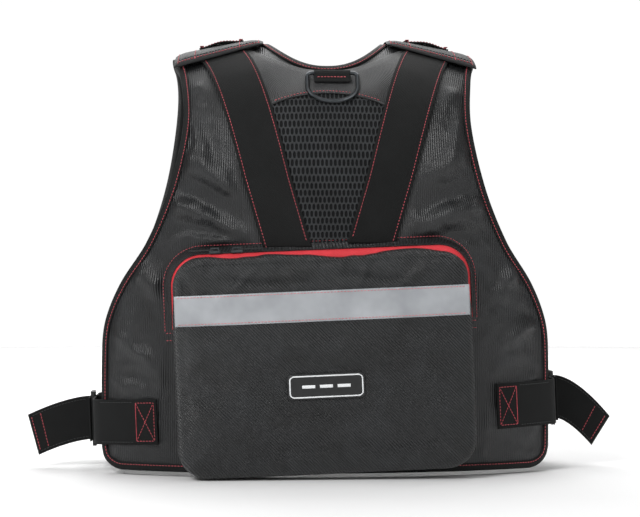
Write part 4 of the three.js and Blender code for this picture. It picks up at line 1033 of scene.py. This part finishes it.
def pocket_outline(inset):
    """Rounded rectangle, clockwise from the middle of its foot, at even shares of its own length.

    The shares come from the outermost outline, so stations of any two insets face each other."""
    w, h, r = POCKET_WIDE / 2, POCKET_HIGH / 2, POCKET_CORNER
    quarter = math.pi * r / 2
    spans = np.array([w - r, quarter, 2 * (h - r), quarter, 2 * (w - r), quarter, 2 * (h - r), quarter,
                      w - r])
    ends = np.concatenate([[0], np.cumsum(spans)])
    s = np.linspace(0, ends[-1], STATIONS, endpoint=False)
    k = np.clip(np.searchsorted(ends, s, "right") - 1, 0, 8)
    t = (s - ends[k]) / spans[k]
    r1 = np.maximum(2.0, r - inset)
    iw, ih = w - inset, h - inset
    corners = {1: (-1, -1, 270), 3: (-1, 1, 180), 5: (1, 1, 90), 7: (1, -1, 0)}
    place = np.zeros((STATIONS, 2))
    lines = {0: ((0, -1), (-1, -1)), 2: ((-1, -1), (-1, 1)), 4: ((-1, 1), (1, 1)),
             6: ((1, 1), (1, -1)), 8: ((1, -1), (0, -1))}
    for span, (start, end) in lines.items():
        turn_u = (iw - r1) if span in (0, 4, 8) else iw
        turn_w = (ih - r1) if span in (2, 6) else ih
        reach = np.array([turn_u, turn_w])
        p0, p1 = np.array(start) * reach, np.array(end) * reach
        place = np.where((k == span)[:, None], p0 + (p1 - p0) * t[:, None], place)
    for span, (su, sw, angle) in corners.items():
        turn = np.radians(angle - 90 * t)
        bend = np.stack([su * (iw - r1) + r1 * np.cos(turn), sw * (ih - r1) + r1 * np.sin(turn)], 1)
        place = np.where((k == span)[:, None], bend, place)
    return place


def pocket_point(u, w, depth):
    """A point of the pocket's tilted frame, depth behind the wearer's axis."""
    u, w, depth = np.broadcast_arrays(u, w, depth)
    return np.stack([POCKET_X + u * math.cos(TILT) - w * math.sin(TILT), -depth,
                     POCKET_Z + u * math.sin(TILT) + w * math.cos(TILT)], -1)


def red_show(u, w):
    """How much lower than the gusset the face starts: three slack waves on top, a little at the sides."""
    top = step_up(POCKET_HIGH / 2 - 40, POCKET_HIGH / 2 - 10, w)
    waves = (2.0 + 4.5 * np.exp(-((u + 100) / 30) ** 2) + 6.5 * np.exp(-((u - 30) / 52) ** 2)
             + 6.5 * np.exp(-((u - 138) / 24) ** 2) + 0.8 * smooth_noise(u, w, 12, 71))
    side = step_up(ZIP_FOOT, ZIP_FOOT + 40, w) * step_up(100, 150, np.abs(u))
    return np.maximum(top * waves, side * np.where(u > 0, 5.0, 3.4)) * step_up(ZIP_FOOT, ZIP_FOOT + 24, w)


POCKET_FOLDS = [
    (-104, 88, -12, 84, 4.5, -2.2), (20, 90, 96, 84, 5, -1.8), (-150, 96, -120, 40, 6, -2),
    (150, 92, 122, 36, 6, -2), (-120, 70, -70, 100, 5, 1.8), (-40, 100, -20, 74, 5, 1.6),
    (52, 102, 38, 72, 5, 1.6), (110, 100, 78, 74, 6, 1.8), (-150, -40, -110, -60, 9, 2),
    (150, -46, 104, -64, 9, 2), (-90, -96, 10, -88, 8, -1.6), (30, -92, 120, -98, 8, -1.6),
    (-146, 10, -100, 24, 8, 1.4), (140, 6, 96, 22, 8, 1.4), (-60, 20, 60, 10, 13, 1.6),
    (-60, -70, 70, -72, 12, 1.4),
]


def face_depth(u, w):
    """Crown rising over the first 84 mm from the outline, with folds, puckers and soft noise."""
    inset = np.minimum(POCKET_WIDE / 2 - np.abs(u), POCKET_HIGH / 2 - np.abs(w))
    crown = through([(0, -0.1), (6, 0), (22, 0.45), (48, 0.8), (84, 1), (122, 1)], np.clip(inset, 0, 121))
    top = POCKET_HIGH / 2 - w
    pucker = 1.5 * smooth_noise(u, 0.25 * w, 7.5, 41) * np.exp(-((top - 15) / 11) ** 2)
    low_pucker = 0.9 * smooth_noise(u, 0.25 * w, 9, 43) * np.exp(-((w + POCKET_HIGH / 2 - 12) / 9) ** 2)
    soft = 1.3 * smooth_noise(u, w, 30, 45) + 0.6 * smooth_noise(u + w, w - u, 12, 47)
    free = step_up(3, 20, inset)
    sewn = 1 - 0.75 * np.exp(-((w - TAPE_MIDDLE) / 20) ** 4)
    slack = free * sewn * (folds(u, w, POCKET_FOLDS) + soft)
    return FACE_DEPTH + CROWN * crown + slack + (pucker + low_pucker) * step_up(2, 8, inset)


# %% Pocket gusset, tapes and coil
outer = pocket_outline(0)
open_run = outer[outer[:, 1] > ZIP_FOOT]


def seat_depth(u, w):
    """Depth at which the pocket meets the shell, or the binding near the hem."""
    x, _, z = np.moveaxis(pocket_point(u, w, 0.0), -1, 0)
    seat = np.where(z < 14, 13.5, SHELL)
    return -torso(x, z)[..., 1] - (seat + 0.8) / torso_normal(x, z)[..., 1]


def wall_points(line, near, far, rows, bulge=0.0):
    """Rows of a wall from one depth to another along an outline, pushed outwards in its middle."""
    t = even(0, 1, rows)[:, None]
    along = np.gradient(line, axis=0)
    out = unit(np.stack([-along[:, 1], along[:, 0]], 1))
    push = bulge * np.sin(math.pi * t)
    u, w = line[:, 0] + push * out[:, 0], line[:, 1] + push * out[:, 1]
    return pocket_point(u, w, near + (far - near) * t), out


def level_way(out, points):
    """The outline's directions in the plane, as directions in space for every row of points."""
    way = np.stack([out[:, 0], 0 * out[:, 0], out[:, 1]], 1)
    return np.broadcast_to(way, points.shape)


closed = np.concatenate([outer, outer[:1]])
under_zip = step_up(ZIP_FOOT - 3, ZIP_FOOT + 1, closed[:, 1])
far = (FACE_DEPTH - RIM - 0.4) * (1 - under_zip)
far = far + (ZIP_DEPTH - ZIP_TAPE - SEAM_GAP / 2 - 0.2) * under_zip
sag = smooth_noise(*closed.T, 18, 51)
sag[-1] = sag[0]
points, out = wall_points(closed, seat_depth(*closed.T), far, 16, sag)
flare = 7.5 * step_up(20, 100, closed[:, 1]) * (1 - even(0, 1, 16)[:, None]) ** 1.3
points = points + flare[..., None] * level_way(out, points)
gusset = cloth("pocket_gusset_cloth", points, level_way(out, points), 1.3, pocket_cloth,
               stands_for=["pocket_gusset"])
declare_sheet(gusset, points)
back_tape, out = wall_points(open_run, ZIP_DEPTH - ZIP_TAPE - SEAM_GAP / 2, ZIP_DEPTH - 0.5, 3)
tape = cloth("pocket_zip_tape_back_cloth", back_tape, level_way(out, back_tape), 0.9, red_tape,
             stands_for=["pocket_zip_tape_back"])
declare_sheet(tape, back_tape)
lean = red_show(*open_run.T)
step = even(0, 1, 6)[:, None]
u = open_run[:, 0] - (lean * step ** 0.8) * out[:, 0]
w = open_run[:, 1] - (lean * step ** 0.8) * out[:, 1]
front_tape = pocket_point(u, w, ZIP_DEPTH + 0.5 + (ZIP_TAPE + 0.8) * step)
tape = cloth("pocket_zip_tape_front_cloth", front_tape, level_way(out, front_tape), 0.9, red_tape,
             stands_for=["pocket_zip_tape_front"])
declare_sheet(tape, front_tape)


def zip_coil(name, path, across, out, wide, high, body, stands_for, pitch=1.5):
    """Turned teeth: rounded blocks at an even pitch across a line, each a ten-sided low loop."""
    run = run_along(path)
    at = np.arange(pitch / 2, run[-1], pitch)

    def along(values):
        return np.stack([np.interp(at, run, values[:, k]) for k in range(3)], 1)
    centre, side, up = along(path), unit(along(across)), unit(along(out))
    forward = np.cross(side, up)
    t = even(-1, 1, 5)
    ring = np.array([(-1, 0), (-1, 0.7), (-0.5, 1), (0.5, 1), (1, 0.7), (1, 0)], float)
    swell = np.sqrt(np.maximum(0, 1 - (0.92 * t) ** 4))
    points = (centre[:, None, None] + side[:, None, None] * (t * wide / 2)[None, :, None, None]
              + forward[:, None, None] * (ring[:, 0] * pitch * 0.4)[None, None, :, None]
              + up[:, None, None] * (ring[:, 1][None, :] * high * swell[:, None])[None, :, :, None])
    caps = np.array([[0, 1, 4, 5], [1, 2, 3, 4], [30, 35, 34, 31], [31, 34, 33, 32]])
    return small_shapes(name, points, caps, centre[0] + up[0] * high * 0.4, coil_nylon, body, stands_for)


path = pocket_point(*(open_run + 0.4 * out).T, ZIP_DEPTH)
away = np.stack([out[:, 0] * math.cos(TILT) - out[:, 1] * math.sin(TILT), 0 * out[:, 0],
                 out[:, 0] * math.sin(TILT) + out[:, 1] * math.cos(TILT)], 1)
zip_coil("pocket_zip_teeth", path, facing(path), away, 4.0, 1.5, "vest", ["pocket_zip_coil"])
print("pocket zip stations", len(open_run))

# %% Pocket face
insets = np.concatenate([[0, 0.4, 1.2, 2.6, 4.4, 6.4], even(8.6, 84, 44)])
rings = []
start = red_show(*outer.T)
for inset in insets:
    shift = start * np.exp(-inset / 14)
    line = pocket_outline(inset)
    middle = np.linalg.norm(line, axis=1, keepdims=True)
    line = line - shift[:, None] * line / middle * np.array([[0.6, 1.0]])
    back = RIM * np.exp(-inset / 1.5) * (inset < 6)
    rings.append(pocket_point(*line.T, face_depth(*line.T) - back))
core = pocket_outline(84.0)
for scale in even(1, 0, 16)[1:-1]:
    line = scale * core
    rings.append(pocket_point(*line.T, face_depth(*line.T)))
rings = np.stack(rings)
rings[0] = rings[0] + np.array([0, 0.4, 0])
pole = pocket_point(0.0, 0.0, face_depth(np.zeros(1), np.zeros(1))[0])
points = np.concatenate([rings.reshape(-1, 3), pole.reshape(1, 3)])
faces = grid_faces(len(rings), STATIONS, wrap_columns=True)
last = (len(rings) - 1) * STATIONS
k = np.arange(0, STATIONS, 2)
fan = np.stack([last + k, last + k + 1, last + (k + 2) % STATIONS, 0 * k + len(points) - 1], -1)
faces = np.concatenate([faces, fan])
faces = outward(points, faces, facing(points))
flat_map = np.stack([points[:, 0], points[:, 2]], 1) * 0.001
face = new_object("pocket_front_cloth", points, faces, flat_map, pocket_cloth, "vest", ["pocket_front"])
give_thickness(face, 1.2)
SHEET_SIZES[face.name] = [0.36, 0.275, 0.099]
print("pocket face rings", rings.shape)


# %% Seams round the pocket
def upper_outline(inset):
    """The outline beside and above the zip's two feet."""
    line = pocket_outline(inset)
    return line[line[:, 1] > ZIP_FOOT - 4].T


u, w = upper_outline(-9.5)
path = pocket_point(u, w, seat_depth(u, w))
out = facing(path)
stitches("pocket_base_seam", laid_on(back_shell, path, out), out)
u, w = upper_outline(11.5)
path = pocket_point(u, w, face_depth(u, w) + 0.1)
stitches("pocket_face_seam", path, facing(path), dark_thread)
for label, side in SIDES:
    for k, w in enumerate((ZIP_FOOT - 4, ZIP_FOOT - 12)):
        t = even(0, 1, 12)
        u = side * (POCKET_WIDE / 2 - 2 + 12 * t)
        path = pocket_point(u, w, seat_depth(u, w))
        out = facing(path)
        stitches(f"pocket_zip_{label}_tack_{k + 1}", laid_on(back_shell, path, out), out)


# %% Reflective tape and plain badge
A, B = np.meshgrid(even(-0.5, 0.5, 200), even(-0.5, 0.5, 16))
u, w = A * (POCKET_WIDE - 6), TAPE_MIDDLE + B * TAPE_HIGH
points = pocket_point(u, w, face_depth(u, w) + TAPE_LIFT)
tape = cloth("pocket_reflective_tape", points, facing(points), 0.7, reflective,
             stands_for=["reflective_tape"])
declare_sheet(tape, points)
for name, off in (("top", 14.4), ("bottom", -14.4)):
    u = even(-157, 157, 200)
    w = np.full_like(u, TAPE_MIDDLE + off)
    path = pocket_point(u, w, face_depth(u, w) + TAPE_LIFT + 0.1)
    stitches(f"reflective_tape_{name}_seam", path, facing(path), pink_thread)


def badge_bed(u):
    """Depth under the stiff badge, which bends less than the cloth it lies on."""
    return face_depth(u * 0.5, np.full_like(u, BADGE_MIDDLE))


def badge_outline(A, B, wide, high, corner=5.0):
    """The unit square drawn onto a rounded rectangle: each row is shortened at the corners."""
    past = np.maximum(0, np.abs(B) * high / 2 - (high / 2 - corner))
    half = wide / 2 - corner + np.sqrt(np.maximum(0, corner ** 2 - past ** 2))
    return A * half, B * high / 2


A, B = np.meshgrid(even(-1, 1, 80), toward_ends(30, 0.9))
u, w = badge_outline(A, B, BADGE_WIDE, BADGE_HIGH)
w = w + BADGE_MIDDLE
rim = np.clip(np.minimum(1 - np.abs(A), 1 - np.abs(B)) * 12, 0, 1)
near_rim = np.maximum(np.abs(A) * 0.985, np.abs(B) * 0.96)
lip = 0.9 + 0.9 * rim ** 0.5 + 0.35 * np.exp(-((near_rim - 0.88) / 0.03) ** 2)
points = pocket_point(u, w, badge_bed(u) + lip)
cloth("pocket_badge_patch", points, facing(points), 1.0, badge_print, stands_for=["pocket_badge"])


def badge_line(name, corners, radius):
    """A raised rounded bead along a closed or open line of (u, w) on the patch."""
    line = resample(np.array(corners, float), 1.0)
    path = pocket_point(*line.T, badge_bed(line[:, 0]) + 1.7)
    along = np.gradient(path, axis=0)
    out = facing(path)
    side = unit(np.cross(out, along))
    turn = np.linspace(0, 2 * math.pi, 10, endpoint=False)
    profile = np.stack([radius * np.cos(turn), 0.55 * np.sin(turn)], 1)
    sweep(name, path, side, out, profile, badge_rubber)


border = []
for k, (across, up) in enumerate(((1, 1), (-1, 1), (-1, -1), (1, -1))):
    turn = np.radians(even(0, 90, 8)) + k * math.pi / 2
    border.append(np.stack([across * 34.5 + 4.5 * np.cos(turn),
                            up * 6.8 + 4.5 * np.sin(turn) + BADGE_MIDDLE], 1))
border = np.concatenate([*border, border[0][:1]])
badge_line("pocket_badge_border", border, 0.8)
for k, (low, high) in enumerate(((-26, -12), (-7, 7), (12, 26))):
    badge_line(f"pocket_badge_bar_{k + 1}", [(low, BADGE_MIDDLE), (high, BADGE_MIDDLE)], 1.8)
print("tape and badge made")

# %% [markdown]
# ## Waist belt
# Each side of the back carries a webbing strap that runs off the edge, folds round the bar of a
# ladder adjuster and comes back; its loose tail stands out past the armhole. Webbing keeps its
# width, so it is a flat band carried along a line seen from above.

# %% Belt formulas
BELT_HIGH = 61.0
BELT_ROOT, FRONT_BELT_ROOT = 182.0, LOWER[2] + LOWER[0] / 2 + 7
BELT_STAND = 13.0 + 1.9 / 4 + 0.4 + WEB_THICK / 2 + WEB_WIDE / 2 * math.sin(TILT)
ADJUSTER_BAR, ADJUSTER_SLOT, ADJUSTER_THICK = 5.0, 8.0, 4.0


def belt_plan(x):
    """Plan point [x, y] of the belt where it lies against the vest."""
    return on_torso(x, BELT_HIGH, BELT_STAND)[..., :2]


wrap = ADJUSTER_THICK / 2 + 0.4 + WEB_THICK / 2
wrap_x = HEM_HALF + 0.8 + 1.0 + 0.4
turn_at = belt_plan(wrap_x)
adjuster_x = float(turn_at[0]) + 6.0 + wrap
bar_pitch = ADJUSTER_SLOT + ADJUSTER_BAR
slot_edge = bar_pitch - ADJUSTER_BAR / 2
fold_y = slot_edge - 0.4 - WEB_THICK


def belt_line(root):
    """Plan line: along the vest, round its edge, down to the adjuster, round its bar and back."""
    lie = [belt_plan(x) for x in even(root, wrap_x, 12)]
    rest = [(adjuster_x - wrap - 1.2, turn_at[1] + 7), (adjuster_x - wrap, turn_at[1] + 16),
            (adjuster_x - wrap, -bar_pitch), (adjuster_x - wrap, 0.4 - slot_edge),
            (adjuster_x - wrap * 0.7, -fold_y), (adjuster_x, 0.6 - fold_y),
            (adjuster_x + wrap * 0.7, -fold_y), (adjuster_x + wrap, 0.4 - slot_edge),
            (adjuster_x + wrap, -bar_pitch - 0.6), (adjuster_x + wrap, -2 * bar_pitch)]
    return np.array([*lie, *rest], float)


def to_belt(x, y, z):
    """A point of the belt's tilted frame in the vest's own."""
    x, y, z = np.broadcast_arrays(x, y, z)
    return np.stack([x * math.cos(TILT) - z * math.sin(TILT), y,
                     BELT_HIGH + x * math.sin(TILT) + z * math.cos(TILT)], -1)


def smooth_line(points, rounds=2):
    """Corner cutting: every corner is replaced by points a quarter along its two sides."""
    for _ in range(rounds):
        near, far = points[:-1], points[1:]
        cut = np.stack([0.75 * near + 0.25 * far, 0.25 * near + 0.75 * far], 1)
        cut = cut.reshape(-1, points.shape[1])
        points = np.concatenate([points[:1], cut, points[-1:]])
    return points


def belt_band(name, side, line, front, stands_for):
    line = resample(smooth_line(line), 2.0)
    along = unit(np.gradient(line, axis=0))
    out = np.stack([along[:, 1], -along[:, 0]], 1)
    z = even(-1, 1, 24) * WEB_WIDE / 2
    flip = -1 if front else 1
    shift = line + out * WEB_THICK / 2
    points = to_belt(side * shift[:, None, 0], flip * shift[:, None, 1], z[None])
    hint = to_belt(side * out[:, None, 0], flip * out[:, None, 1], 0 * z[None]) - to_belt(0.0, 0.0, 0.0)
    band = cloth(name, points, hint, WEB_THICK, webbing, stands_for=stands_for)
    declare_sheet(band, points)


def box_seam(name, corners, place, out):
    """A boxed X: round the rectangle and across both diagonals; place maps (s, z) to a point."""
    (s0, z0), (s1, z1) = corners
    a, b, c, d = (s0, z0), (s1, z0), (s1, z1), (s0, z1)
    s, z = resample([a, b, c, d, a, c, b, d], 1.2).T
    stitches(name, place(s, z), out(s))


def on_belt(side, front):
    """For one belt: the point of its outer face at (s, z), and the way out of it there."""
    flip = -1 if front else 1

    def place(s, z):
        plan = belt_plan(s) + torso_normal(s, BELT_HIGH)[..., :2] * (WEB_THICK / 2 + 0.1)
        return to_belt(side * plan[..., 0], flip * plan[..., 1], z)

    def out(s):
        normal = torso_normal(s, BELT_HIGH)
        return np.stack([side * normal[..., 0], flip * normal[..., 1], 0 * s], -1)
    return place, out


for label, side in SIDES:
    belt_band(f"waist_belt_webbing_{label}", side, belt_line(BELT_ROOT), False,
              [f"waist_webbing_{label}"])
    belt_band(f"front_belt_webbing_{label}", side, belt_line(FRONT_BELT_ROOT), True,
              [f"front_webbing_{label}"])
    place, out = on_belt(side, False)
    box_seam(f"waist_belt_{label}_box_seam", ((BELT_ROOT + 3, -21), (BELT_ROOT + 22, 21)),
             place, out)
    for edge_name, z in (("top", 22.0), ("bottom", -22.0)):
        s = even(BELT_ROOT + 25, wrap_x - 2, 40)
        stitches(f"waist_belt_{label}_{edge_name}_seam", place(s, z), out(s), dark_thread)
    place, out = on_belt(side, True)
    box_seam(f"front_belt_{label}_box_seam", ((FRONT_BELT_ROOT + 3, -21), (FRONT_BELT_ROOT + 21, 21)),
             place, out)

# %% Loose tails
for label, side, long, droop in (("left", -1, 71.0, 17.0), ("right", 1, 58.0, 42.0)):
    tail_y = bar_pitch / 2 - 1.4

    def tail_point(run, across, off, side=side, long=long, droop=droop):
        """The tail droops as share^1.6 beyond its straight start, and leans with its slope."""
        share = np.maximum(0, run - 6) / (long - 6)
        slope = np.arctan2(droop * 1.6 * share ** 0.6, long)
        curl = 1.6 * np.sin(3.2 * share) * share
        x = run + across * np.sin(slope) * 0.6
        z = across * np.cos(slope) - droop * share ** 1.6
        return to_belt(side * (adjuster_x + x), tail_y + off + curl, z)

    A, B = np.meshgrid(even(-0.5, 0.5, 24), even(-34, long, 60))
    points = tail_point(B, A * WEB_WIDE, -WEB_THICK / 2)
    tail = cloth(f"waist_tail_webbing_{label}", points, facing(points), WEB_THICK, webbing, f"waist_tail_{label}",
                 [f"waist_tail_{label}"])
    declare_sheet(tail, points)
    for name, back in (("hem", 13.0), ("tip", 3.0)):
        t = even(-21, 21, 40)
        path = tail_point(long - back, t, -WEB_THICK / 2)
        stitches(f"waist_tail_{label}_{name}_seam", path, facing(path), body=f"waist_tail_{label}")
    for name, z in (("top", 21.5), ("bottom", -21.5)):
        t = even(8, long - 3, 50)
        path = tail_point(t, z, -WEB_THICK / 2)
        stitches(f"waist_tail_{label}_{name}_seam", path, facing(path), dark_thread,
                 body=f"waist_tail_{label}")
print("belt made, adjuster at", round(adjuster_x, 2))

# %% [markdown]
# ## Front zip and pockets
# The front closes with a red-taped zip. Two small chest pockets with a short zip each and two
# large flapped pockets stand out as stiff domes of cloth.

# %% Front zip
ZIP_HEAD, ZIP_SILL = FRONT_TOP - FRONT_NECK[0] - 6, 6.0
run = even(ZIP_SILL, ZIP_HEAD, 200)
for label, side in SIDES:
    A, B = np.meshgrid(even(0.25, OPENING_HALF - 0.4, 6), run)
    points = on_torso(side * A, 2 * CREST - B, 6.0)
    tape = cloth(f"front_zip_tape_{label}_cloth", points, torso_normal(side * A, 2 * CREST - B), 0.9, red_tape,
                 stands_for=[f"front_zip_tape_{label}"])
    declare_sheet(tape, points)
    x = side * (OPENING_HALF + 5.0)
    seam(f"front_zip_{label}_seam", np.stack([x + 0 * run, 2 * CREST - run], 1), SHELL + 0.5)
line, out = on_torso(0.0, 2 * CREST - run, 6.4), torso_normal(0.0, 2 * CREST - run)
zip_coil("front_zip_teeth", line, facing(line, (1.0, 0.0, 0.0)), out, 5.4, 2.2,
         "vest", ["front_zip_coil"], pitch=2.0)


# %% Front pockets
POCKET_LIFT, POCKET_DEPTH = 0.8, 22.0


def dome(side, pocket, a, b, raise_, power=10):
    """A flat dome: swell = sqrt((1 - |2a-1|^p) (1 - |2b-1|^p)), its sides drawn in a little."""
    wide, high, offset, middle = pocket
    u = (2 * a - 1) * (wide / 2 - raise_) * (1 - 0.03 * (2 * b - 1) ** 2)
    w = (2 * b - 1) * (high / 2 - raise_) * (1 - 0.03 * (2 * a - 1) ** 2)
    swell = np.sqrt(np.maximum(0, (1 - np.abs(2 * a - 1) ** power) * (1 - np.abs(2 * b - 1) ** power)))
    rumple = 0.9 * smooth_noise(u * side + offset, w, 22, int(high)) + 0.4 * smooth_noise(u, w + u, 9, 63)
    stand = SHELL + POCKET_LIFT + swell * (POCKET_DEPTH - raise_) + np.minimum(swell ** 4 * rumple, 0.3)
    return on_torso(side * (offset + u), 2 * CREST - (middle + w), stand)


CHEST_ZIP, CHEST_ZIP_LONG = 292.0, 62.0
dense = (np.sin(toward_ends(70, 0) * math.pi / 2) + 1) / 2
for label, side in SIDES:
    for name, pocket in (("chest_pocket", CHEST), ("lower_pocket", LOWER)):
        A, B = np.meshgrid(dense, dense)
        points = dome(side, pocket, A, B, 0.0)
        x0 = side * pocket[2]
        away = torso_normal(x0, 2 * CREST - pocket[3]) * np.ones_like(points)
        piece = cloth(f"{name}_cloth_{label}", points, away, 1.2, pocket_cloth, stands_for=[f"{name}_{label}"])
        flat, area = soft_size(points)
        SHEET_SIZES[piece.name] = [round(flat[0], 3), round(flat[1], 3), round(area, 4)]
        square = np.array([(-1, -1), (1, -1), (1, 1), (-1, 1), (-1, -1)])
        x = side * (pocket[2] + square[:, 0] * (pocket[0] / 2 + 2.6))
        girth = 2 * CREST - (pocket[3] + square[:, 1] * (pocket[1] / 2 + 2.6))
        seam(f"{name}_{label}_seam", np.stack([x, girth], 1), SHELL + 0.5)
    A, B = np.meshgrid(dense * 0.94 + 0.03, 1 - (42 / LOWER[1]) * (1 - even(0, 1, 24)) * 0.84 - 0.05)
    points = dome(side, LOWER, A, B, -2.0)
    away = torso_normal(side * LOWER[2], 2 * CREST - LOWER[3]) * np.ones_like(points)
    flap = cloth(f"lower_pocket_flap_cloth_{label}", points, away, 1.4, pocket_cloth,
                 stands_for=[f"lower_pocket_flap_{label}"])
    declare_sheet(flap, points)
    a = even(0.06, 0.94, 120)
    path = dome(side, LOWER, a, float(B[0, 0]) + 0.025, -2.2)
    stitches(f"lower_flap_{label}_seam", path, facing(path, away[0, 0]))

# %% Chest pocket zips
CHEST_FACE = SHELL + POCKET_LIFT + POCKET_DEPTH + 0.4
for label, side in SIDES:
    A, B = np.meshgrid(even(-7, 7, 10), even(0.5, -0.5, 60) * CHEST_ZIP_LONG)
    x, girth = side * (CHEST[2] + A), 2 * CREST - CHEST_ZIP + B
    points = on_torso(x, girth, CHEST_FACE + 1.0)
    tape = cloth(f"chest_zip_tape_{label}", points, torso_normal(x, girth), 0.9, red_tape,
                 stands_for=[f"chest_zip_{label}"])
    declare_sheet(tape, points)
    t = even(-0.49, 0.49, 80) * CHEST_ZIP_LONG
    line = on_torso(side * CHEST[2], 2 * CREST - CHEST_ZIP + t, CHEST_FACE + 1.0)
    out = torso_normal(side * CHEST[2], 2 * CREST - CHEST_ZIP + t)
    zip_coil(f"chest_zip_{label}_teeth", line, facing(line, (1.0, 0.0, 0.0)), out, 3.9, 1.6, "vest", [])
    for name, off in (("inner", -5.6), ("outer", 5.6)):
        path = np.stack([np.full_like(t, side * (CHEST[2] + off)), 2 * CREST - CHEST_ZIP + t], 1)
        seam(f"chest_zip_{label}_{name}_seam", path, CHEST_FACE + 1.1, dark_thread)
print("front made")

# %% [markdown]
# ## Hardware
# The ring, the sliders with their pulls and the adjusters are kept from the CAD model as they are.
# They get the plated, corded and moulded finishes in place of their plain ones.

# %% Finishes on the CAD hardware
HARDWARE = {"gunmetal": gunmetal, "cord": pull_cord, "acetal": acetal}
kept = 0
for cad_name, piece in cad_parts.items():
    if piece.hide_render:
        continue
    for place in piece.material_slots:
        slot_name = place.material.name.split(".")[0]
        if slot_name in HARDWARE:
            place.material = HARDWARE[slot_name]
    kept += 1
    print("kept", cad_name, [place.material.name for place in piece.material_slots])
print("kept CAD pieces", kept)

# %% [markdown]
# ## Floor, light and camera
# A pale round floor lies under a pale world. Broad soft lights from the upper left and the front
# keep the black cloth readable, and a low fill shows the folds.

# %% Stage
pale_floor = plain("pale_floor_paint", "#f2f2f2", "#f6f6f6", 0.8, (0.85, 0.95), 0.01, 0.0001)
FLOOR_HEIGHT, RINGS, SPOKES = -0.007, 24, 72
radius, turn = even(0.02, 3.2, RINGS), np.linspace(0, 2 * math.pi, SPOKES, endpoint=False)
points = np.stack([radius[:, None] * np.cos(turn), radius[:, None] * np.sin(turn),
                   np.full((RINGS + 1, SPOKES), FLOOR_HEIGHT)], -1)
faces = outward(points, grid_faces(RINGS + 1, SPOKES, wrap_columns=True), facing(points, (0.0, 0.0, 1.0)))
mesh = bpy.data.meshes.new("pale_floor")
mesh.from_pydata(points.reshape(-1, 3).tolist(), [], faces.tolist() + [list(range(SPOKES))])
mesh.materials.append(pale_floor)
floor = bpy.data.objects.new("pale_floor", mesh)
bpy.context.scene.collection.objects.link(floor)


# %% Lights
def soft_light(name, place, aim, size, power, tint="#ffffff"):
    lamp = bpy.data.lights.new(name, "AREA")
    lamp.shape, lamp.size, lamp.energy, lamp.color = "SQUARE", size, power, linear(tint)[:3]
    light = bpy.data.objects.new(name, lamp)
    light.location = place
    direction = np.array(aim) - np.array(place)
    light.rotation_euler = Vector(direction).to_track_quat("-Z", "Y").to_euler()
    bpy.context.scene.collection.objects.link(light)


soft_light("key", (-1.5, -2.2, 2.0), (0, -0.1, 0.25), 1.1, 62)
soft_light("fill", (1.9, -2.2, 0.8), (0, -0.1, 0.25), 1.6, 12)
soft_light("top", (0.2, 0.2, 2.4), (0, 0, 0.2), 1.4, 15)
soft_light("front_fill", (-0.8, 2.4, 1.5), (0, 0, 0.25), 1.6, 15)
soft_light("floor_wash", (0, 1.9, 1.9), (0, 2.0, 0), 2.6, 60)
world = bpy.data.worlds.new("studio")
world.use_nodes = True
sky = world.node_tree
sky.nodes["Background"].inputs["Color"].default_value = linear("#fbfbfb")
seen = sky.nodes.new("ShaderNodeLightPath").outputs["Is Camera Ray"]
level = node(sky, "MapRange", {"Value": seen, "To Min": 0.3, "To Max": 1.05})
sky.links.new(level.outputs["Result"], sky.nodes["Background"].inputs["Strength"])
bpy.context.scene.world = world
bpy.context.scene.view_settings.view_transform = "Standard"


# %% Camera
def look_from(azimuth, distance, aim, wide, sensor=36.0):
    """Lens that makes a width of the given metres fill the frame at the aim point's distance."""
    camera = bpy.data.objects.new("camera", bpy.data.cameras.new("camera"))
    turn = math.radians(azimuth)
    place = Vector(aim) + Vector((math.sin(turn), -math.cos(turn), 0)) * distance
    camera.location = place
    camera.rotation_euler = (Vector(aim) - place).to_track_quat("-Z", "Y").to_euler()
    camera.data.sensor_width = sensor
    camera.data.lens = sensor * distance / wide
    bpy.context.scene.collection.objects.link(camera)
    bpy.context.scene.camera = camera
    return camera.data.lens


lens = look_from(-2.5, 2.2, (-0.0088, -0.110, 0.2327), 0.704)
print("lens", round(lens, 1), "mm")

# %% Size and finish
print("sheets", json.dumps(SHEET_SIZES))
